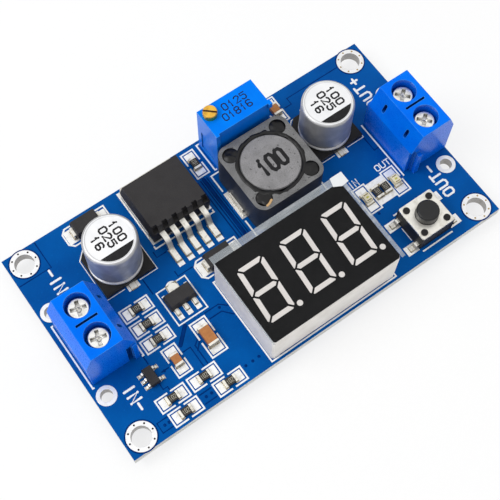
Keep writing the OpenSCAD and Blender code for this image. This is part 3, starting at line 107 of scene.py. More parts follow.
# %% Sockets that can be added and multiplied
class Socket:
    """An output of a node tree, with arithmetic that adds Math nodes."""

    def __init__(self, graph, link):
        self.graph, self.link = graph, link

    def math(self, operation, first, second):
        settings = {"operation": operation}
        return self.graph.add("ShaderNodeMath", settings, {0: first, 1: second})

    def __add__(self, other):
        return self.math("ADD", self, other)

    def __sub__(self, other):
        return self.math("SUBTRACT", self, other)

    def __rsub__(self, other):
        return self.math("SUBTRACT", other, self)

    def __mul__(self, other):
        return self.math("MULTIPLY", self, other)

    def __gt__(self, other):
        return self.math("GREATER_THAN", self, other)

    def most(self, other):
        return self.math("MAXIMUM", self, other)

    def spread(self, low, high, start=0.0, end=1.0):
        """Maps low..high onto start..end and holds the ends."""
        values = {"From Min": low, "From Max": high, "To Min": start, "To Max": end}
        return self.graph.add("ShaderNodeMapRange", {}, {"Value": self, **values})

    __radd__, __rmul__ = __add__, __mul__


class Graph:
    """A node tree whose nodes all come from add()."""

    def __init__(self, tree):
        self.tree = tree

    def feed(self, node, inputs):
        for key, value in inputs.items():
            for one in value if isinstance(value, list) else [value]:
                if isinstance(one, Socket):
                    self.tree.links.new(one.link, node.inputs[key])
                else:
                    node.inputs[key].default_value = one

    def add(self, kind, settings=None, inputs=None, output=0):
        node = self.tree.nodes.new(kind)
        for key, value in (settings or {}).items():
            setattr(node, key, value)
        self.feed(node, inputs or {})
        return Socket(self, node.outputs[output])


print("socket class ready")

# %% [markdown]
# Every finish needs the same few ingredients: a position in metres, noise of a given size,
# a mix of two colours, the way a face looks, a mask for edges, which carry wear and a
# painted highlight, and a mask for hollows, which get painted shade. Paint bundles them for
# one material.
# Colours are written as on a colour chart, 0 to 255.

# %% A material and its ingredients
BEVEL_RAYS = 6
HOLLOW_RAYS = 6


def chart(red, green, blue):
    """A colour-chart value as the linear colour that Blender mixes."""
    return tuple((v / 255) ** 2.2 for v in (red, green, blue)) + (1.0,)


def dimmed(colour, share):
    """The same hue with only a share of its light, for hollows."""
    return tuple(v * share for v in colour[:3]) + (1.0,)


class Paint(Graph):
    """One material: sizes are in millimetres, fixed holds constant sockets."""

    def __init__(self, name, **fixed):
        self.material = bpy.data.materials.new(name)
        self.material.use_nodes = True
        super().__init__(self.material.node_tree)
        self.shader = self.tree.nodes["Principled BSDF"]
        self.place = self.add("ShaderNodeTexCoord", output="Object")
        self.feed(self.shader, {key.replace("_", " "): v for key, v in fixed.items()})

    def noise(self, size, detail=2.0, stretch=None):
        """Cloudy 0..1 values, about size mm across; stretch scales the axes."""
        where = self.place
        if stretch:
            pull = {"operation": "MULTIPLY"}
            where = self.add("ShaderNodeVectorMath", pull, {0: where, 1: stretch})
        inputs = {"Vector": where, "Scale": 1 / (size * MM), "Detail": detail}
        return self.add("ShaderNodeTexNoise", {}, inputs)

    def mix(self, factor, first, second):
        settings = {"data_type": "RGBA"}
        inputs = {0: factor, 6: first, 7: second}
        return self.add("ShaderNodeMix", settings, inputs, output=2)

    def axis(self, vector, name):
        return self.add("ShaderNodeSeparateXYZ", {}, {"Vector": vector}, output=name)

    def facing(self):
        """How far a face looks up: 1 on a flat top, 0 on a wall, -1 below."""
        normal = self.add("ShaderNodeNewGeometry", output="Normal")
        return self.axis(normal, "Z")

    def rounded(self, radius):
        """A normal that rounds each edge by radius mm."""
        inputs = {"Radius": radius * MM}
        return self.add("ShaderNodeBevel", {"samples": BEVEL_RAYS}, inputs)

    def edge_band(self, radius):
        """1 on edges within radius mm, 0 on flats."""
        normal = self.add("ShaderNodeNewGeometry", output="Normal")
        both = {0: self.rounded(radius), 1: normal}
        dot = {"operation": "DOT_PRODUCT"}
        same = self.add("ShaderNodeVectorMath", dot, both, output="Value")
        return (1 - same).spread(0.02, 0.2)

    def open_air(self, reach):
        """1 in the open, lower in a hole or corner, felt over reach mm."""
        settings = {"samples": HOLLOW_RAYS, "only_local": True}
        inputs = {"Distance": reach * MM}
        return self.add("ShaderNodeAmbientOcclusion", settings, inputs, output="AO")

    def bumped(self, height, depth, edge=0.05):
        """A normal from a 0..1 height of depth mm, on rounded edges."""
        inputs = {"Height": height, "Distance": depth * MM, "Normal": self.rounded(edge)}
        return self.add("ShaderNodeBump", {}, inputs)

    def coat_on(self, colour, roughness, normal, **more):
        values = {"Base Color": colour, "Roughness": roughness, "Normal": normal}
        self.feed(self.shader, {**values, **more})
        return self.material


print("paint class ready")

# %% [markdown]
# The part lies on white paper. The paper gets a little brightness of its own
# for rays that see it straight on or in a mirror, and keeps the soft shadow
# that its matt share receives. A wide square under the lowest pin is enough.

# %% The white floor
FLOOR_HALF = 1.5
FLOOR_GAP = 0.02
FLOOR_GLOW = 0.75


def white_paper():
    paint = Paint("white_paper", Specular_IOR_Level=0.1)
    fibre = paint.noise(0.6, 4)
    colour = paint.mix(fibre, chart(246, 246, 246), chart(252, 252, 252))
    paint.coat_on(colour, fibre.spread(0, 1, 0.8, 0.95), paint.bumped(fibre, 0.01))
    rays = paint.tree.nodes.new("ShaderNodeLightPath").outputs
    seen = Socket(paint, rays["Is Camera Ray"]) + Socket(paint, rays["Is Glossy Ray"])
    seen = (seen + Socket(paint, rays["Is Transmission Ray"])).spread(0, 1)
    glow = paint.add("ShaderNodeEmission", {}, {"Color": (1, 1, 1, 1), "Strength": 1.0})
    matt = Socket(paint, paint.shader.outputs[0])
    both = paint.add("ShaderNodeMixShader", {}, {0: seen * FLOOR_GLOW, 1: matt, 2: glow})
    paint.feed(paint.tree.nodes["Material Output"], {"Surface": both})
    return paint.material


def floor_sheet():
    mesh = bpy.data.meshes.new("floor")
    shape = bmesh.new()
    bmesh.ops.create_grid(shape, x_segments=4, y_segments=4, size=FLOOR_HALF)
    level = Vector((0, 0, cad_low.z - FLOOR_GAP * MM))
    bmesh.ops.translate(shape, verts=shape.verts, vec=level)
    shape.to_mesh(mesh)
    mesh.materials.append(white_paper())
    return bpy.data.objects.new("floor", mesh)


floor = floor_sheet()
scene.collection.objects.link(floor)
print("floor at", round((cad_low.z - FLOOR_GAP * MM) / MM, 2), "mm")

# %% [markdown]
# Metal shows what stands round it, so a plain white room would make every
# metal part vanish. The room here is bright overhead and greyer towards the
# horizon, which shades cans and leads softly. One wide lamp from the input
# side and the back gives the blue blocks a light side and a dark side.

# %% The room and the lamp
ROOM_LOW, ROOM_HIGH = 0.16, 1.0
LAMP_POWER = 1.5
LAMP_SIZE = 0.38
LAMP_AT = Vector((-0.36, 0.16, 0.48))

world = bpy.data.worlds.new("room")
world.use_nodes = True
scene.world = world
room = Graph(world.node_tree)
direction = room.add("ShaderNodeTexCoord", output="Generated")
height = room.add("ShaderNodeSeparateXYZ", {}, {"Vector": direction}, output="Z")
rays = world.node_tree.nodes.new("ShaderNodeLightPath").outputs
background = world.node_tree.nodes["Background"]
background.inputs["Color"].default_value = (1, 1, 1, 1)
light = height.spread(0.0, 0.9, ROOM_LOW, ROOM_HIGH)
room.feed(background, {"Strength": light.most(Socket(room, rays["Is Camera Ray"]))})

lamp = bpy.data.objects.new("lamp", bpy.data.lights.new("lamp", "AREA"))
lamp.data.shape, lamp.data.size = "DISK", LAMP_SIZE
lamp.data.energy = LAMP_POWER
lamp.location = LAMP_AT
lamp.rotation_euler = LAMP_AT.to_track_quat("Z", "Y").to_euler()
scene.collection.objects.link(lamp)
print("lamp", round(LAMP_AT.length, 2), "m away")

# %% [markdown]
# Each finish is a function that returns a material, and wear() hands it to
# the CAD parts that have it. Their meshes stay as they are: only the
# material in their slots is exchanged.

# %% Give CAD parts a finish
def wear(material, *nodes):
    """Puts the material in every slot of the named CAD parts."""
    for node in nodes:
        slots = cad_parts[node].data.materials
        for index in range(len(slots)):
            slots[index] = material
    print(material.name, "on", len(nodes), "parts")


# %% [markdown]
# The board is woven glass and resin under a glossy blue solder mask. The
# mask is a little uneven where copper lies under it. Its sawn edges show the
# pale resin with fine layers of cloth, which a stretched noise gives.

# %% Solder mask and sawn board edge
BLUE_SHEEN = (0.05, 0.38, 1.0, 1.0)


def solder_mask():
    paint = Paint("solder_mask", Coat_Roughness=0.12, Specular_Tint=BLUE_SHEEN)
    cloud, fine = paint.noise(5, 3), paint.noise(0.25, 3)
    blue = paint.mix(cloud.spread(0.3, 0.7), chart(0, 72, 143), chart(0, 84, 160))
    blue = paint.mix(fine.spread(0.62, 0.75) * 0.25, blue, chart(20, 110, 200))
    layers = paint.noise(0.35, 2, stretch=(0.1, 0.1, 1.6))
    layers = layers.spread(0.35, 0.65)
    resin = paint.mix(layers, chart(206, 203, 194), chart(240, 239, 233))
    across = paint.facing()
    wall = (across * across).spread(0.3, 0.5, 1, 0)
    rough = fine.spread(0, 1, 0.28, 0.42) + wall * 0.4
    normal = paint.bumped(cloud + fine * 0.15, 0.02)
    return paint.coat_on(paint.mix(wall, blue, resin), rough, normal)


wear(solder_mask(), "circuit_board")

# %% [markdown]
# Lands, leads, chip ends and rings are copper dipped in tin. Tin is pale and soft, with
# smooth swells where solder ran and a brownish flux stain in a low-lying cloud mask. Walls
# and hollows get painted shade, a brownish dark, and edges stay bright.

# %% Tinned copper
def tinned(name, bright, stain, amount, swell=0.02, shade=0.6):
    """amount is how stained it is, shade how much painted shade darkens its walls and
    corners.
    """
    paint = Paint(name)
    cloud, fine = paint.noise(0.7, 3), paint.noise(0.12, 2)
    stain_and_reflection = cloud.spread(0.52, 0.75) * amount
    colour = paint.mix(stain_and_reflection, bright, stain)
    # painted shade: hollows and faces turned away from up darken towards a brownish dark
    painted_hollow_shade = paint.open_air(0.5).spread(0.35, 0.8, shade, 0)
    wall = paint.facing().spread(0.2, 0.7, shade * 0.7, 0)
    colour = paint.mix(painted_hollow_shade.most(wall), colour, chart(88, 78, 62))
    rough = fine.spread(0.2, 0.8, 0.28, 0.42) + stain_and_reflection * 0.25
    normal = paint.bumped(cloud, swell)
    return paint.coat_on(colour, rough, normal, Metallic=0.6 - stain_and_reflection * 0.3)


wear(
    tinned("tinned_lands", chart(250, 250, 248), chart(170, 152, 120), 0.4),
    "solder_lands",
)
wear(
    tinned("plated_rings", chart(246, 246, 246), chart(190, 184, 170), 0.3, 0.01, 0.9),
    "plated_holes",
)
wear(
    tinned("chip_ends", chart(244, 240, 228), chart(110, 96, 72), 0.6, 0.02, 0.95),
    "chip_end_caps",
)
wear(
    tinned("tinned_leads", chart(244, 241, 232), chart(150, 138, 112), 0.5, 0.012, 0.75),
    "capacitor_leads", "inductor_terminals", "regulator_leads", "regulator_tab",
    "trimmer_pins", "display_pins", "controller_leads", "switch_leads",
    "input_diode_leads", "catch_diode_leads", "meter_regulator_leads",
    "sense_chip_leads",
)
wear(
    tinned("wave_solder", chart(214, 216, 220), chart(130, 120, 100), 0.4),
    "pin_solder",
)

# %% [markdown]
# Screen ink is matt, thick at the rims of a line and thin in the middle, and
# it picks up grey dust. The same finish in three colours serves the board's
# white print, the black print on cans, and pale codes on resistors.

# %% Printing ink
def ink(name, colour, dust):
    paint = Paint(name, Specular_IOR_Level=0.3)
    fine, cloud = paint.noise(0.09, 2), paint.noise(0.8, 3)
    tone = paint.mix(cloud.spread(0.45, 0.75) * 0.3, colour, dust)
    rough = fine.spread(0, 1, 0.5, 0.7)
    return paint.coat_on(tone, rough, paint.bumped(fine, 0.006, 0.02))


white_ink = ink("white_ink", chart(250, 250, 248), chart(205, 210, 216))
black_ink = ink("black_ink", chart(24, 24, 26), chart(58, 58, 60))
wear(white_ink, "silkscreen")

# %% [markdown]
# Blocks, trimmer and black bases are moulded. Mould steel leaves a fine grain and thick
# walls sink a little. Edges turn lighter, partly from handling and partly as a painted
# highlight, and hollows get painted shade. Three colours, a gloss and a few depths tell one
# plastic from another: full, deep for the sunk patches, and a lighter one for the edges.

# %% Moulded plastic
def moulded(name, colour, deep, wear_and_highlight, gloss=0.3, grain=0.2, sink=0.02, edge=0.08,
            sheen=(1.0, 1.0, 1.0, 1.0), shine=0.5, reach=1.5):
    paint = Paint(name, Specular_Tint=sheen, Specular_IOR_Level=shine)
    cloud, fine = paint.noise(2.5, 3), paint.noise(grain, 3)
    tone = paint.mix(cloud.spread(0.3, 0.7), deep, colour)
    # painted shade: hollows and corners darken towards a dim copy of the deep colour
    painted_hollow_shade = paint.open_air(reach).spread(0.3, 0.85, 0.8, 0)
    tone = paint.mix(painted_hollow_shade, tone, dimmed(deep, 0.1))
    # edges lighten: partly wear, partly a painted highlight
    tone = paint.mix(paint.edge_band(edge) * cloud.spread(0.3, 0.6, 0.35, 0.9), tone, wear_and_highlight)
    rough = fine.spread(0.2, 0.8, gloss, gloss + 0.14)
    normal = paint.bumped(cloud * 0.8 + fine * 0.08, sink, edge)
    return paint.coat_on(tone, rough, normal)


wear(
    moulded("block_blue", chart(0, 118, 248), chart(0, 106, 240), chart(110, 190, 255),
            0.22, edge=0.12, sheen=BLUE_SHEEN, shine=0.4, reach=3.0),
    "input_terminal_housing", "output_terminal_housing",
)
wear(
    moulded("trimmer_blue", chart(0, 128, 250), chart(0, 116, 240), chart(96, 188, 255),
            0.26, edge=0.12, sheen=BLUE_SHEEN, shine=0.3),
    "trimmer_case",
)
wear(
    moulded("base_black", chart(34, 33, 33), chart(24, 23, 23), chart(70, 70, 70), 0.45,
            shine=0.3),
    "input_capacitor_base", "output_capacitor_base", "switch_base",
)
wear(
    moulded("button_black", chart(26, 26, 27), chart(16, 16, 17), chart(58, 58, 60), 0.35),
    "switch_button",
)
wear(
    moulded("display_white", chart(250, 246, 240), chart(234, 229, 222),
            chart(253, 251, 248), 0.35),
    "display_housing",
)
wear(
    moulded("potting_cream", chart(226, 220, 200), chart(206, 198, 176),
            chart(236, 232, 220), 0.4),
    "trimmer_base",
)

# %% [markdown]
# Moulded epoxy on chips is filled with powdered glass, so it is nearly black, matt, and
# faintly speckled. The mould's release wax makes cloudy patches of gloss. Its edges carry a
# painted highlight.

# %% Moulded epoxy
def epoxy(name, colour, speck):
    paint = Paint(name, Specular_IOR_Level=0.4)
    cloud, grain = paint.noise(1.6, 3), paint.noise(0.07, 2)
    tone = paint.mix(grain.spread(0.56, 0.8) * 0.5, colour, speck)
    # painted highlight: edges lighten towards grey
    tone = paint.mix(paint.edge_band(0.07) * 0.5, tone, chart(92, 90, 90))
    rough = cloud.spread(0.3, 0.7, 0.5, 0.66)
    return paint.coat_on(tone, rough, paint.bumped(grain, 0.012, 0.07))


wear(
    epoxy("epoxy_black", chart(42, 40, 41), chart(84, 80, 78)),
    "regulator_body", "controller_body", "input_diode_body", "catch_diode_body",
    "meter_regulator_body", "sense_chip_body",
)

# %% [markdown]
# Plated steel and brass are smooth metal with fine scratches from the tool that turned or
# stamped them. Noise pulled long in one direction makes the scratches, and a cloud of
# tarnish keeps the sheen from being even. Hollows get painted shade and edges a painted
# highlight.

# %% Turned and stamped metal
def plated(name, bright, tarnish, rough=0.2, pull=(1, 1, 12), scratch=0.004):
    paint = Paint(name)
    cloud, lines = paint.noise(0.9, 3), paint.noise(0.12, 3, stretch=pull)
    dull = cloud.spread(0.45, 0.7) * 0.6
    tone = paint.mix(dull, bright, tarnish)
    # painted shade: hollows darken towards a dim copy of the tarnish colour
    painted_hollow_shade = paint.open_air(0.5).spread(0.3, 0.9, 0.85, 0)
    tone = paint.mix(painted_hollow_shade, tone, dimmed(tarnish, 0.12))
    # painted highlight: edges lighten towards near white
    tone = paint.mix(paint.edge_band(0.05) * 0.6, tone, chart(252, 250, 244))
    sheen = lines.spread(0.2, 0.8, rough, rough + 0.16) + dull * 0.12
    normal = paint.bumped(lines, scratch)
    return paint.coat_on(tone, sheen, normal, Metallic=1 - dull * 0.2)


wear(
    plated("screw_nickel", chart(250, 249, 244), chart(196, 190, 176)),
    "input_screw_plus", "input_screw_minus", "output_screw_plus", "output_screw_minus",
)
wear(
    plated("clamp_nickel", chart(208, 204, 192), chart(160, 152, 136), 0.3),
    "input_clamp_plus", "input_clamp_minus", "output_clamp_plus", "output_clamp_minus",
    "terminal_contacts",
)
wear(
    plated("cover_nickel", chart(246, 243, 234), chart(206, 200, 186), 0.3, (1, 10, 1)),
    "switch_cover", "switch_dome",
)
wear(
    plated("brass", chart(250, 196, 84), chart(178, 122, 44), 0.24, (1, 1, 8)),
    "trimmer_screw", "trimmer_wiper",
)

# %% [markdown]
# A capacitor's can is drawn aluminium, satin and grey round its wall. Its flat top is
# painted nearly white, a painted highlight for the bright light it mirrors. One material
# does both by asking which way the face looks.

# %% Drawn aluminium can
def can_aluminium():
    paint = Paint("can_aluminium", Coat_Roughness=0.3)
    top = paint.facing().spread(0.9, 0.99)
    drawn = paint.noise(0.3, 3, stretch=(6, 6, 0.5))
    cloud, fine = paint.noise(1.5, 3), paint.noise(0.08, 2)
    cloud = cloud.spread(0.3, 0.7)
    wall = paint.mix(cloud, chart(176, 176, 178), chart(204, 204, 205))
    # painted highlight: the flat top is near white
    painted_top_highlight = paint.mix(cloud, chart(238, 239, 241), chart(250, 250, 251))
    rough = drawn.spread(0.2, 0.8, 0.36, 0.46) + top * 0.1
    normal = paint.bumped(fine * top + drawn * (1 - top), 0.006, 0.12)
    tone = paint.mix(top, wall, painted_top_highlight)
    return paint.coat_on(tone, rough, normal, Metallic=0.6 - top * 0.25)


wear(can_aluminium(), "input_capacitor_can", "output_capacitor_can")

# %% [markdown]
# Ferrite is pressed powder, sintered hard. Ground faces are grey and full of pits and
# bright grains; the sides, left as pressed, are near black, and their dull blue sheen is
# painted into their colour. Edges carry a painted highlight.

# %% Ferrite
def ferrite(name, ground, pit, grain_colour, side):
    paint = Paint(name, Specular_IOR_Level=0.55)
    cloud, grain, spots = paint.noise(1.8, 4), paint.noise(0.11, 3), paint.noise(0.45, 3)
    up = paint.facing().spread(0.6, 0.95)
    face = paint.mix(cloud.spread(0.3, 0.7) * 0.4, ground, grain_colour)
    face = paint.mix(grain.spread(0.56, 0.68) * 0.6, face, grain_colour)
    face = paint.mix(grain.spread(0.44, 0.34) * 0.6, face, pit)
    face = paint.mix(spots.spread(0.64, 0.7) * 0.8, face, pit)
    # sides take the side colour, whose blue tint is a painted sheen
    tone = paint.mix(up, side, face)
    # painted highlight: edges lighten towards the grain colour
    tone = paint.mix(paint.edge_band(0.1) * 0.35, tone, grain_colour)
    rough = grain.spread(0.2, 0.8, 0.36, 0.6)
    return paint.coat_on(tone, rough, paint.bumped(grain + cloud, 0.015, 0.1))


wear(
    ferrite("ferrite_dark", chart(94, 94, 95), chart(34, 34, 36), chart(150, 150, 150),
            chart(30, 33, 42)),
    "inductor_shield",
)
wear(
    ferrite("ferrite_grey", chart(122, 121, 122), chart(54, 52, 54), chart(172, 170, 172),
            chart(60, 60, 62)),
    "inductor_drum",
)

# %% [markdown]
# Chip resistors and capacitors, the trimmer's track and the lights are fired
# ceramics and glazes: a speckled body, a slightly rough glaze and chalky
# edges.

# %% Fired ceramic
def fired(name, body, speck, gloss):
    paint = Paint(name)
    cloud, grain = paint.noise(0.5, 3), paint.noise(0.06, 2)
    tone = paint.mix(cloud.spread(0.35, 0.7) * 0.6, body, speck)
    tone = paint.mix(grain.spread(0.6, 0.75) * 0.4, tone, speck)
    rough = grain.spread(0.2, 0.8, gloss, gloss + 0.15)
    return paint.coat_on(tone, rough, paint.bumped(cloud + grain * 0.3, 0.01, 0.04))


FIRED = [
    ("resistor_glaze", chart(34, 31, 26), chart(60, 54, 44), 0.3, "chip_resistors"),
    ("capacitor_tan", chart(186, 120, 62), chart(156, 94, 42), 0.35, "chip_capacitors"),
    ("alumina", chart(235, 232, 224), chart(210, 204, 190), 0.45, "trimmer_element"),
    ("light_cream", chart(238, 230, 200), chart(222, 208, 160), 0.25, "status_lights"),
]
for name, body, speck, gloss, node in FIRED:
    wear(fired(name, body, speck, gloss), node)

# %% [markdown]
# The display's face is a printed black foil over a white housing, with
# milky resin in the segments. Under it sits a bare green board.

# %% Display face, segments and inner board
wear(
    moulded("face_black", chart(26, 26, 27), chart(22, 22, 23), chart(44, 44, 45),
            0.5, 0.1, 0.006, shine=0.15),
    "display_face",
)
wear(
    moulded("segment_milk", chart(222, 217, 213), chart(212, 207, 203),
            chart(235, 232, 230), 0.3, 0.15, 0.008, 0.05),
    "display_segments",
)
wear(
    moulded("inner_board", chart(60, 118, 72), chart(48, 100, 60),
            chart(150, 160, 120), 0.4),
    "display_board",
)

# %% [markdown]
# A clear film protects the display until it is peeled. Over the black face
# it can hardly be seen; where it stands over the edge it looks milky. The
# alpha follows the place: low over the face, higher past its back and end.

# %% Protective film
FILM_OVER_FACE = 0.004
FILM_OVER_AIR = 0.4


def protective_film(name, alpha_low, alpha_high):
    paint = Paint(name)
    low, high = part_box("display_face")
    past_end = low.x - paint.axis(paint.place, "X")
    past_end = past_end.most(paint.axis(paint.place, "X") - high.x)
    past = past_end.most(paint.axis(paint.place, "Y") - high.y) > 0.0
    wrinkles_and_glare, fine = paint.noise(2.0, 3, stretch=(0.4, 1.5, 1)), paint.noise(0.3, 2)
    # painted reflection: streaks lighten the tone and thicken the alpha; the same noise
    # bumps the film like wrinkles
    painted_glare = wrinkles_and_glare.spread(0.4, 0.7)
    tone = paint.mix(painted_glare, chart(168, 176, 182), chart(206, 210, 213))
    alpha = past.spread(0, 1, alpha_low, alpha_high)
    alpha = alpha + wrinkles_and_glare.spread(0.55, 0.75) * past * 0.2
    rough = fine.spread(0.2, 0.8, 0.12, 0.26)
    return paint.coat_on(tone, rough, paint.bumped(wrinkles_and_glare, 0.05, 0.03), Alpha=alpha)


wear(protective_film("film_clear", FILM_OVER_FACE, FILM_OVER_AIR), "display_film")
wear(
    moulded("tab_white", chart(236, 238, 240), chart(222, 225, 228),
            chart(250, 250, 250), 0.3, 0.3, 0.01, 0.03),
    "film_tab",
)

# %% [markdown]
# The winding is enamelled copper: metal under a clear amber varnish. It lies
# deep inside the shield, but it shows in the gap round the drum.

# %% Enamelled copper
def enamelled():
    paint = Paint("enamelled_copper", Coat_Roughness=0.1, Coat_Weight=0.6)
    cloud, turns = paint.noise(0.8, 3), paint.noise(0.2, 2, stretch=(0.3, 0.3, 4))
    tone = paint.mix(cloud.spread(0.3, 0.7), chart(168, 88, 44), chart(206, 122, 66))
    rough = turns.spread(0.2, 0.8, 0.25, 0.4)
    return paint.coat_on(tone, rough, paint.bumped(turns, 0.02), Metallic=0.8)


wear(enamelled(), "inductor_winding")

# %% [markdown]
# Everything printed or drawn on the board is a line of some width. Geometry
# Nodes can make all of it from bare edges: a round tube along each edge, a
# ball at each corner so that turns are smooth, and the whole pressed flat
# until only a low rounded ridge is left, as wet ink dries.

# %% A tree that draws lines
def new_tree(name, *sizes):
    """An empty tree with named sizes, a Material and one Geometry output."""
    tree = bpy.data.node_groups.new(name, "GeometryNodeTree")
    kinds = [("Geometry", "Geometry")] + [(size, "Float") for size in sizes]
    for label, kind in kinds + [("Material", "Material")]:
        tree.interface.new_socket(label, in_out="INPUT", socket_type="NodeSocket" + kind)
    tree.interface.new_socket(
        "Geometry", in_out="OUTPUT", socket_type="NodeSocketGeometry")
    return Graph(tree)


def given(graph, label):
    return graph.add("NodeGroupInput", output=label)


def finished(graph, shape):
    """Ends a tree: real mesh, smooth shading and the given material."""
    shape = graph.add("GeometryNodeRealizeInstances", {}, {"Geometry": shape})
    shape = graph.add("GeometryNodeSetShadeSmooth", {}, {"Geometry": shape})
    inputs = {"Geometry": shape, "Material": given(graph, "Material")}
    shape = graph.add("GeometryNodeSetMaterial", {}, inputs)
    graph.feed(graph.tree.nodes.new("NodeGroupOutput"), {"Geometry": shape})
    return graph


def pressed(graph, shape, flatness, lift):
    """Scales a shape's height and then raises it."""
    scale = graph.add("ShaderNodeCombineXYZ", {}, {0: 1.0, 1: 1.0, 2: flatness})
    move = graph.add("ShaderNodeCombineXYZ", {}, {2: lift})
    inputs = {"Geometry": shape, "Scale": scale, "Translation": move}
    return graph.add("GeometryNodeTransform", {}, inputs)


def line_tree():
    graph = new_tree("lines", "Width", "Height", "Lift")
    edges, radius = given(graph, "Geometry"), given(graph, "Width") * 0.5
    path = graph.add("GeometryNodeMeshToCurve", {}, {"Mesh": edges})
    ring = {"Resolution": 8, "Radius": radius}
    ring = graph.add("GeometryNodeCurvePrimitiveCircle", {}, ring)
    tube = {"Curve": path, "Profile Curve": ring, "Fill Caps": True}
    tube = graph.add("GeometryNodeCurveToMesh", {}, tube)
    ball = {"Radius": radius, "Subdivisions": 2}
    ball = graph.add("GeometryNodeMeshIcoSphere", {}, ball)
    knots = {"Points": edges, "Instance": ball}
    knots = graph.add("GeometryNodeInstanceOnPoints", {}, knots)
    both = graph.add("GeometryNodeJoinGeometry", {}, {"Geometry": [tube, knots]})
    flatness = graph.add("ShaderNodeMath", {"operation": "DIVIDE"},
                         {0: given(graph, "Height"), 1: radius})
    return finished(graph, pressed(graph, both, flatness, given(graph, "Lift")))


LINES = line_tree()
print("line tree:", len(LINES.tree.nodes), "nodes")

# %% [markdown]
# A tree only works through a modifier. This helper gives it bare points and
# edges, sets its inputs by their identifiers, keeps the result as a plain
# mesh and takes the modifier away, so the piece is ordinary when it rides.

# %% Turn points and edges into a piece
def piece_from(name, graph, points, edges, material, slot, **sizes):
    mesh = bpy.data.meshes.new(name)
    mesh.from_pydata([tuple(point) for point in points], edges, [])
    piece = bpy.data.objects.new(name, mesh)
    scene.collection.objects.link(piece)
    modifier = piece.modifiers.new("grow", "NODES")
    modifier.node_group = graph.tree
    values = {**{key: value * MM for key, value in sizes.items()}, "Material": material}
    for item in graph.tree.interface.items_tree:
        if item.in_out == "INPUT" and item.name in values:
            modifier[item.identifier] = values[item.name]
    ready = piece.evaluated_get(bpy.context.evaluated_depsgraph_get())
    piece.data = bpy.data.meshes.new_from_object(ready)
    piece.modifiers.clear()
    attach(piece, "module")
    print(name, len(piece.data.polygons), "faces")
    return piece


def chains(*paths):
    """Points and edges of several open lines; each point is a Vector."""
    points, edges = [], []
    for path in paths:
        first = len(points)
        points += path
        edges += [(i, i + 1) for i in range(first, len(points) - 1)]
    return points, edges


def flat(point):
    """The same place at height zero, because the tree adds the lift."""
    return Vector((point.x, point.y, 0.0))


# %% [markdown]
# Under the mask, areas of copper are parted by narrow bare gaps that look
# darker. They are listed as paths in board millimetres, wide and narrow, and
# drawn by the same tree as lines a few thousandths of a millimetre high. A
# round gap parts each mounting ring from the copper about it.

# %% Dark gaps between copper areas
NARROW_GAPS = [
    [(19.7, 11.9), (22.1, 11.9), (23.1, 11.0)],
    [(19.8, 10.76), (21.9, 10.76), (23.1, 9.4)],
    [(13.9, 8.9), (15.2, 8.9), (15.2, 5.6)],
    [(16.7, 9.3), (15.9, 8.7), (15.9, 5.6)],
    [(15.8, 7.9), (16.9, 9.0)],
    [(9.9, 8.2), (11.0, 8.2)],
    [(8.7, 7.0), (8.7, 6.0), (9.4, 6.0), (9.4, 5.4)],
    [(7.0, 2.5), (5.3, 2.5), (5.3, 0.9), (6.9, 0.9)],
    [(12.3, 2.4), (14.2, 2.4)],
    [(12.3, 0.9), (14.2, 0.9)],
    [(9.0, 11.8), (9.0, 10.3)],
    [(0.25, 30.6), (5.5, 30.6), (5.5, 35.3)],
    [(18.9, 24.0), (18.9, 23.0), (20.5, 23.0)],
    [(19.8, 19.7), (19.8, 18.8), (22.3, 18.8)],
    [(15.3, 21.2), (15.3, 18.6)],
    [(30.6, 29.5), (30.6, 17.0)],
    [(31.1, 29.5), (31.1, 17.0)],
    [(32.2, 29.5), (32.2, 17.0)],
    [(49.0, 32.4), (50.2, 32.4), (50.2, 33.6), (60.3, 33.6)],
    [(55.8, 21.2), (55.8, 18.6), (56.8, 18.6)],
]
WIDE_GAPS = [
    [(14.2, 9.9), (16.4, 12.0)],
    [(31.65, 29.5), (31.65, 17.0)],
]
GAP_NARROW, GAP_WIDE, GAP_HEIGHT = 0.2, 0.6, 0.008
BOARD_LEVEL = board_high.z / MM


def drawn(name, paths, material, slot, width, height, lift):
    """Lines along paths of board millimetres, lift mm over the frame's zero."""
    points, edges = chains(*[[flat(on_board(*p)) for p in path] for path in paths])
    sizes = {"Width": width, "Height": height, "Lift": lift}
    return piece_from(name, LINES, points, edges, material, slot, **sizes)


def bare_gap():
    paint = Paint("bare_gap", Specular_Tint=BLUE_SHEEN, Specular_IOR_Level=0.3)
    cloud = paint.noise(1.5, 3)
    tone = paint.mix(cloud.spread(0.3, 0.7), chart(0, 40, 100), chart(0, 52, 120))
    rough = cloud.spread(0, 1, 0.3, 0.42)
    return paint.coat_on(tone, rough, paint.bumped(cloud, 0.01, 0.02))


def round_gap(x, y, radius, corners=32):
    """A closed gap round a mounting ring."""
    turns = [2 * math.pi * i / corners for i in range(corners + 1)]
    return [(x + radius * math.cos(a), y + radius * math.sin(a)) for a in turns]


BOARD_MIDDLE_X, BOARD_MIDDLE_Y = 32.5, 17.75
MOUNT_X, MOUNT_Y, RING_GAP_R = 29.9, 15.5, 2.3
mounts = [(BOARD_MIDDLE_X + i * MOUNT_X, BOARD_MIDDLE_Y + j * MOUNT_Y)
          for i in (-1, 1) for j in (-1, 1)]
dark = bare_gap()
paths = NARROW_GAPS + [round_gap(x, y, RING_GAP_R) for x, y in mounts]
drawn("narrow_gaps", paths, dark, "board_blue", GAP_NARROW, GAP_HEIGHT, BOARD_LEVEL)
drawn("wide_gaps", WIDE_GAPS, dark, "board_blue", GAP_WIDE, GAP_HEIGHT, BOARD_LEVEL)

# %% [markdown]
# Letters and numbers are strokes too. Each one is written as chains of
# points on a grid four wide and six high, and placed by a reading direction
# and an up direction. Only plain numbers and IN and OUT are printed.

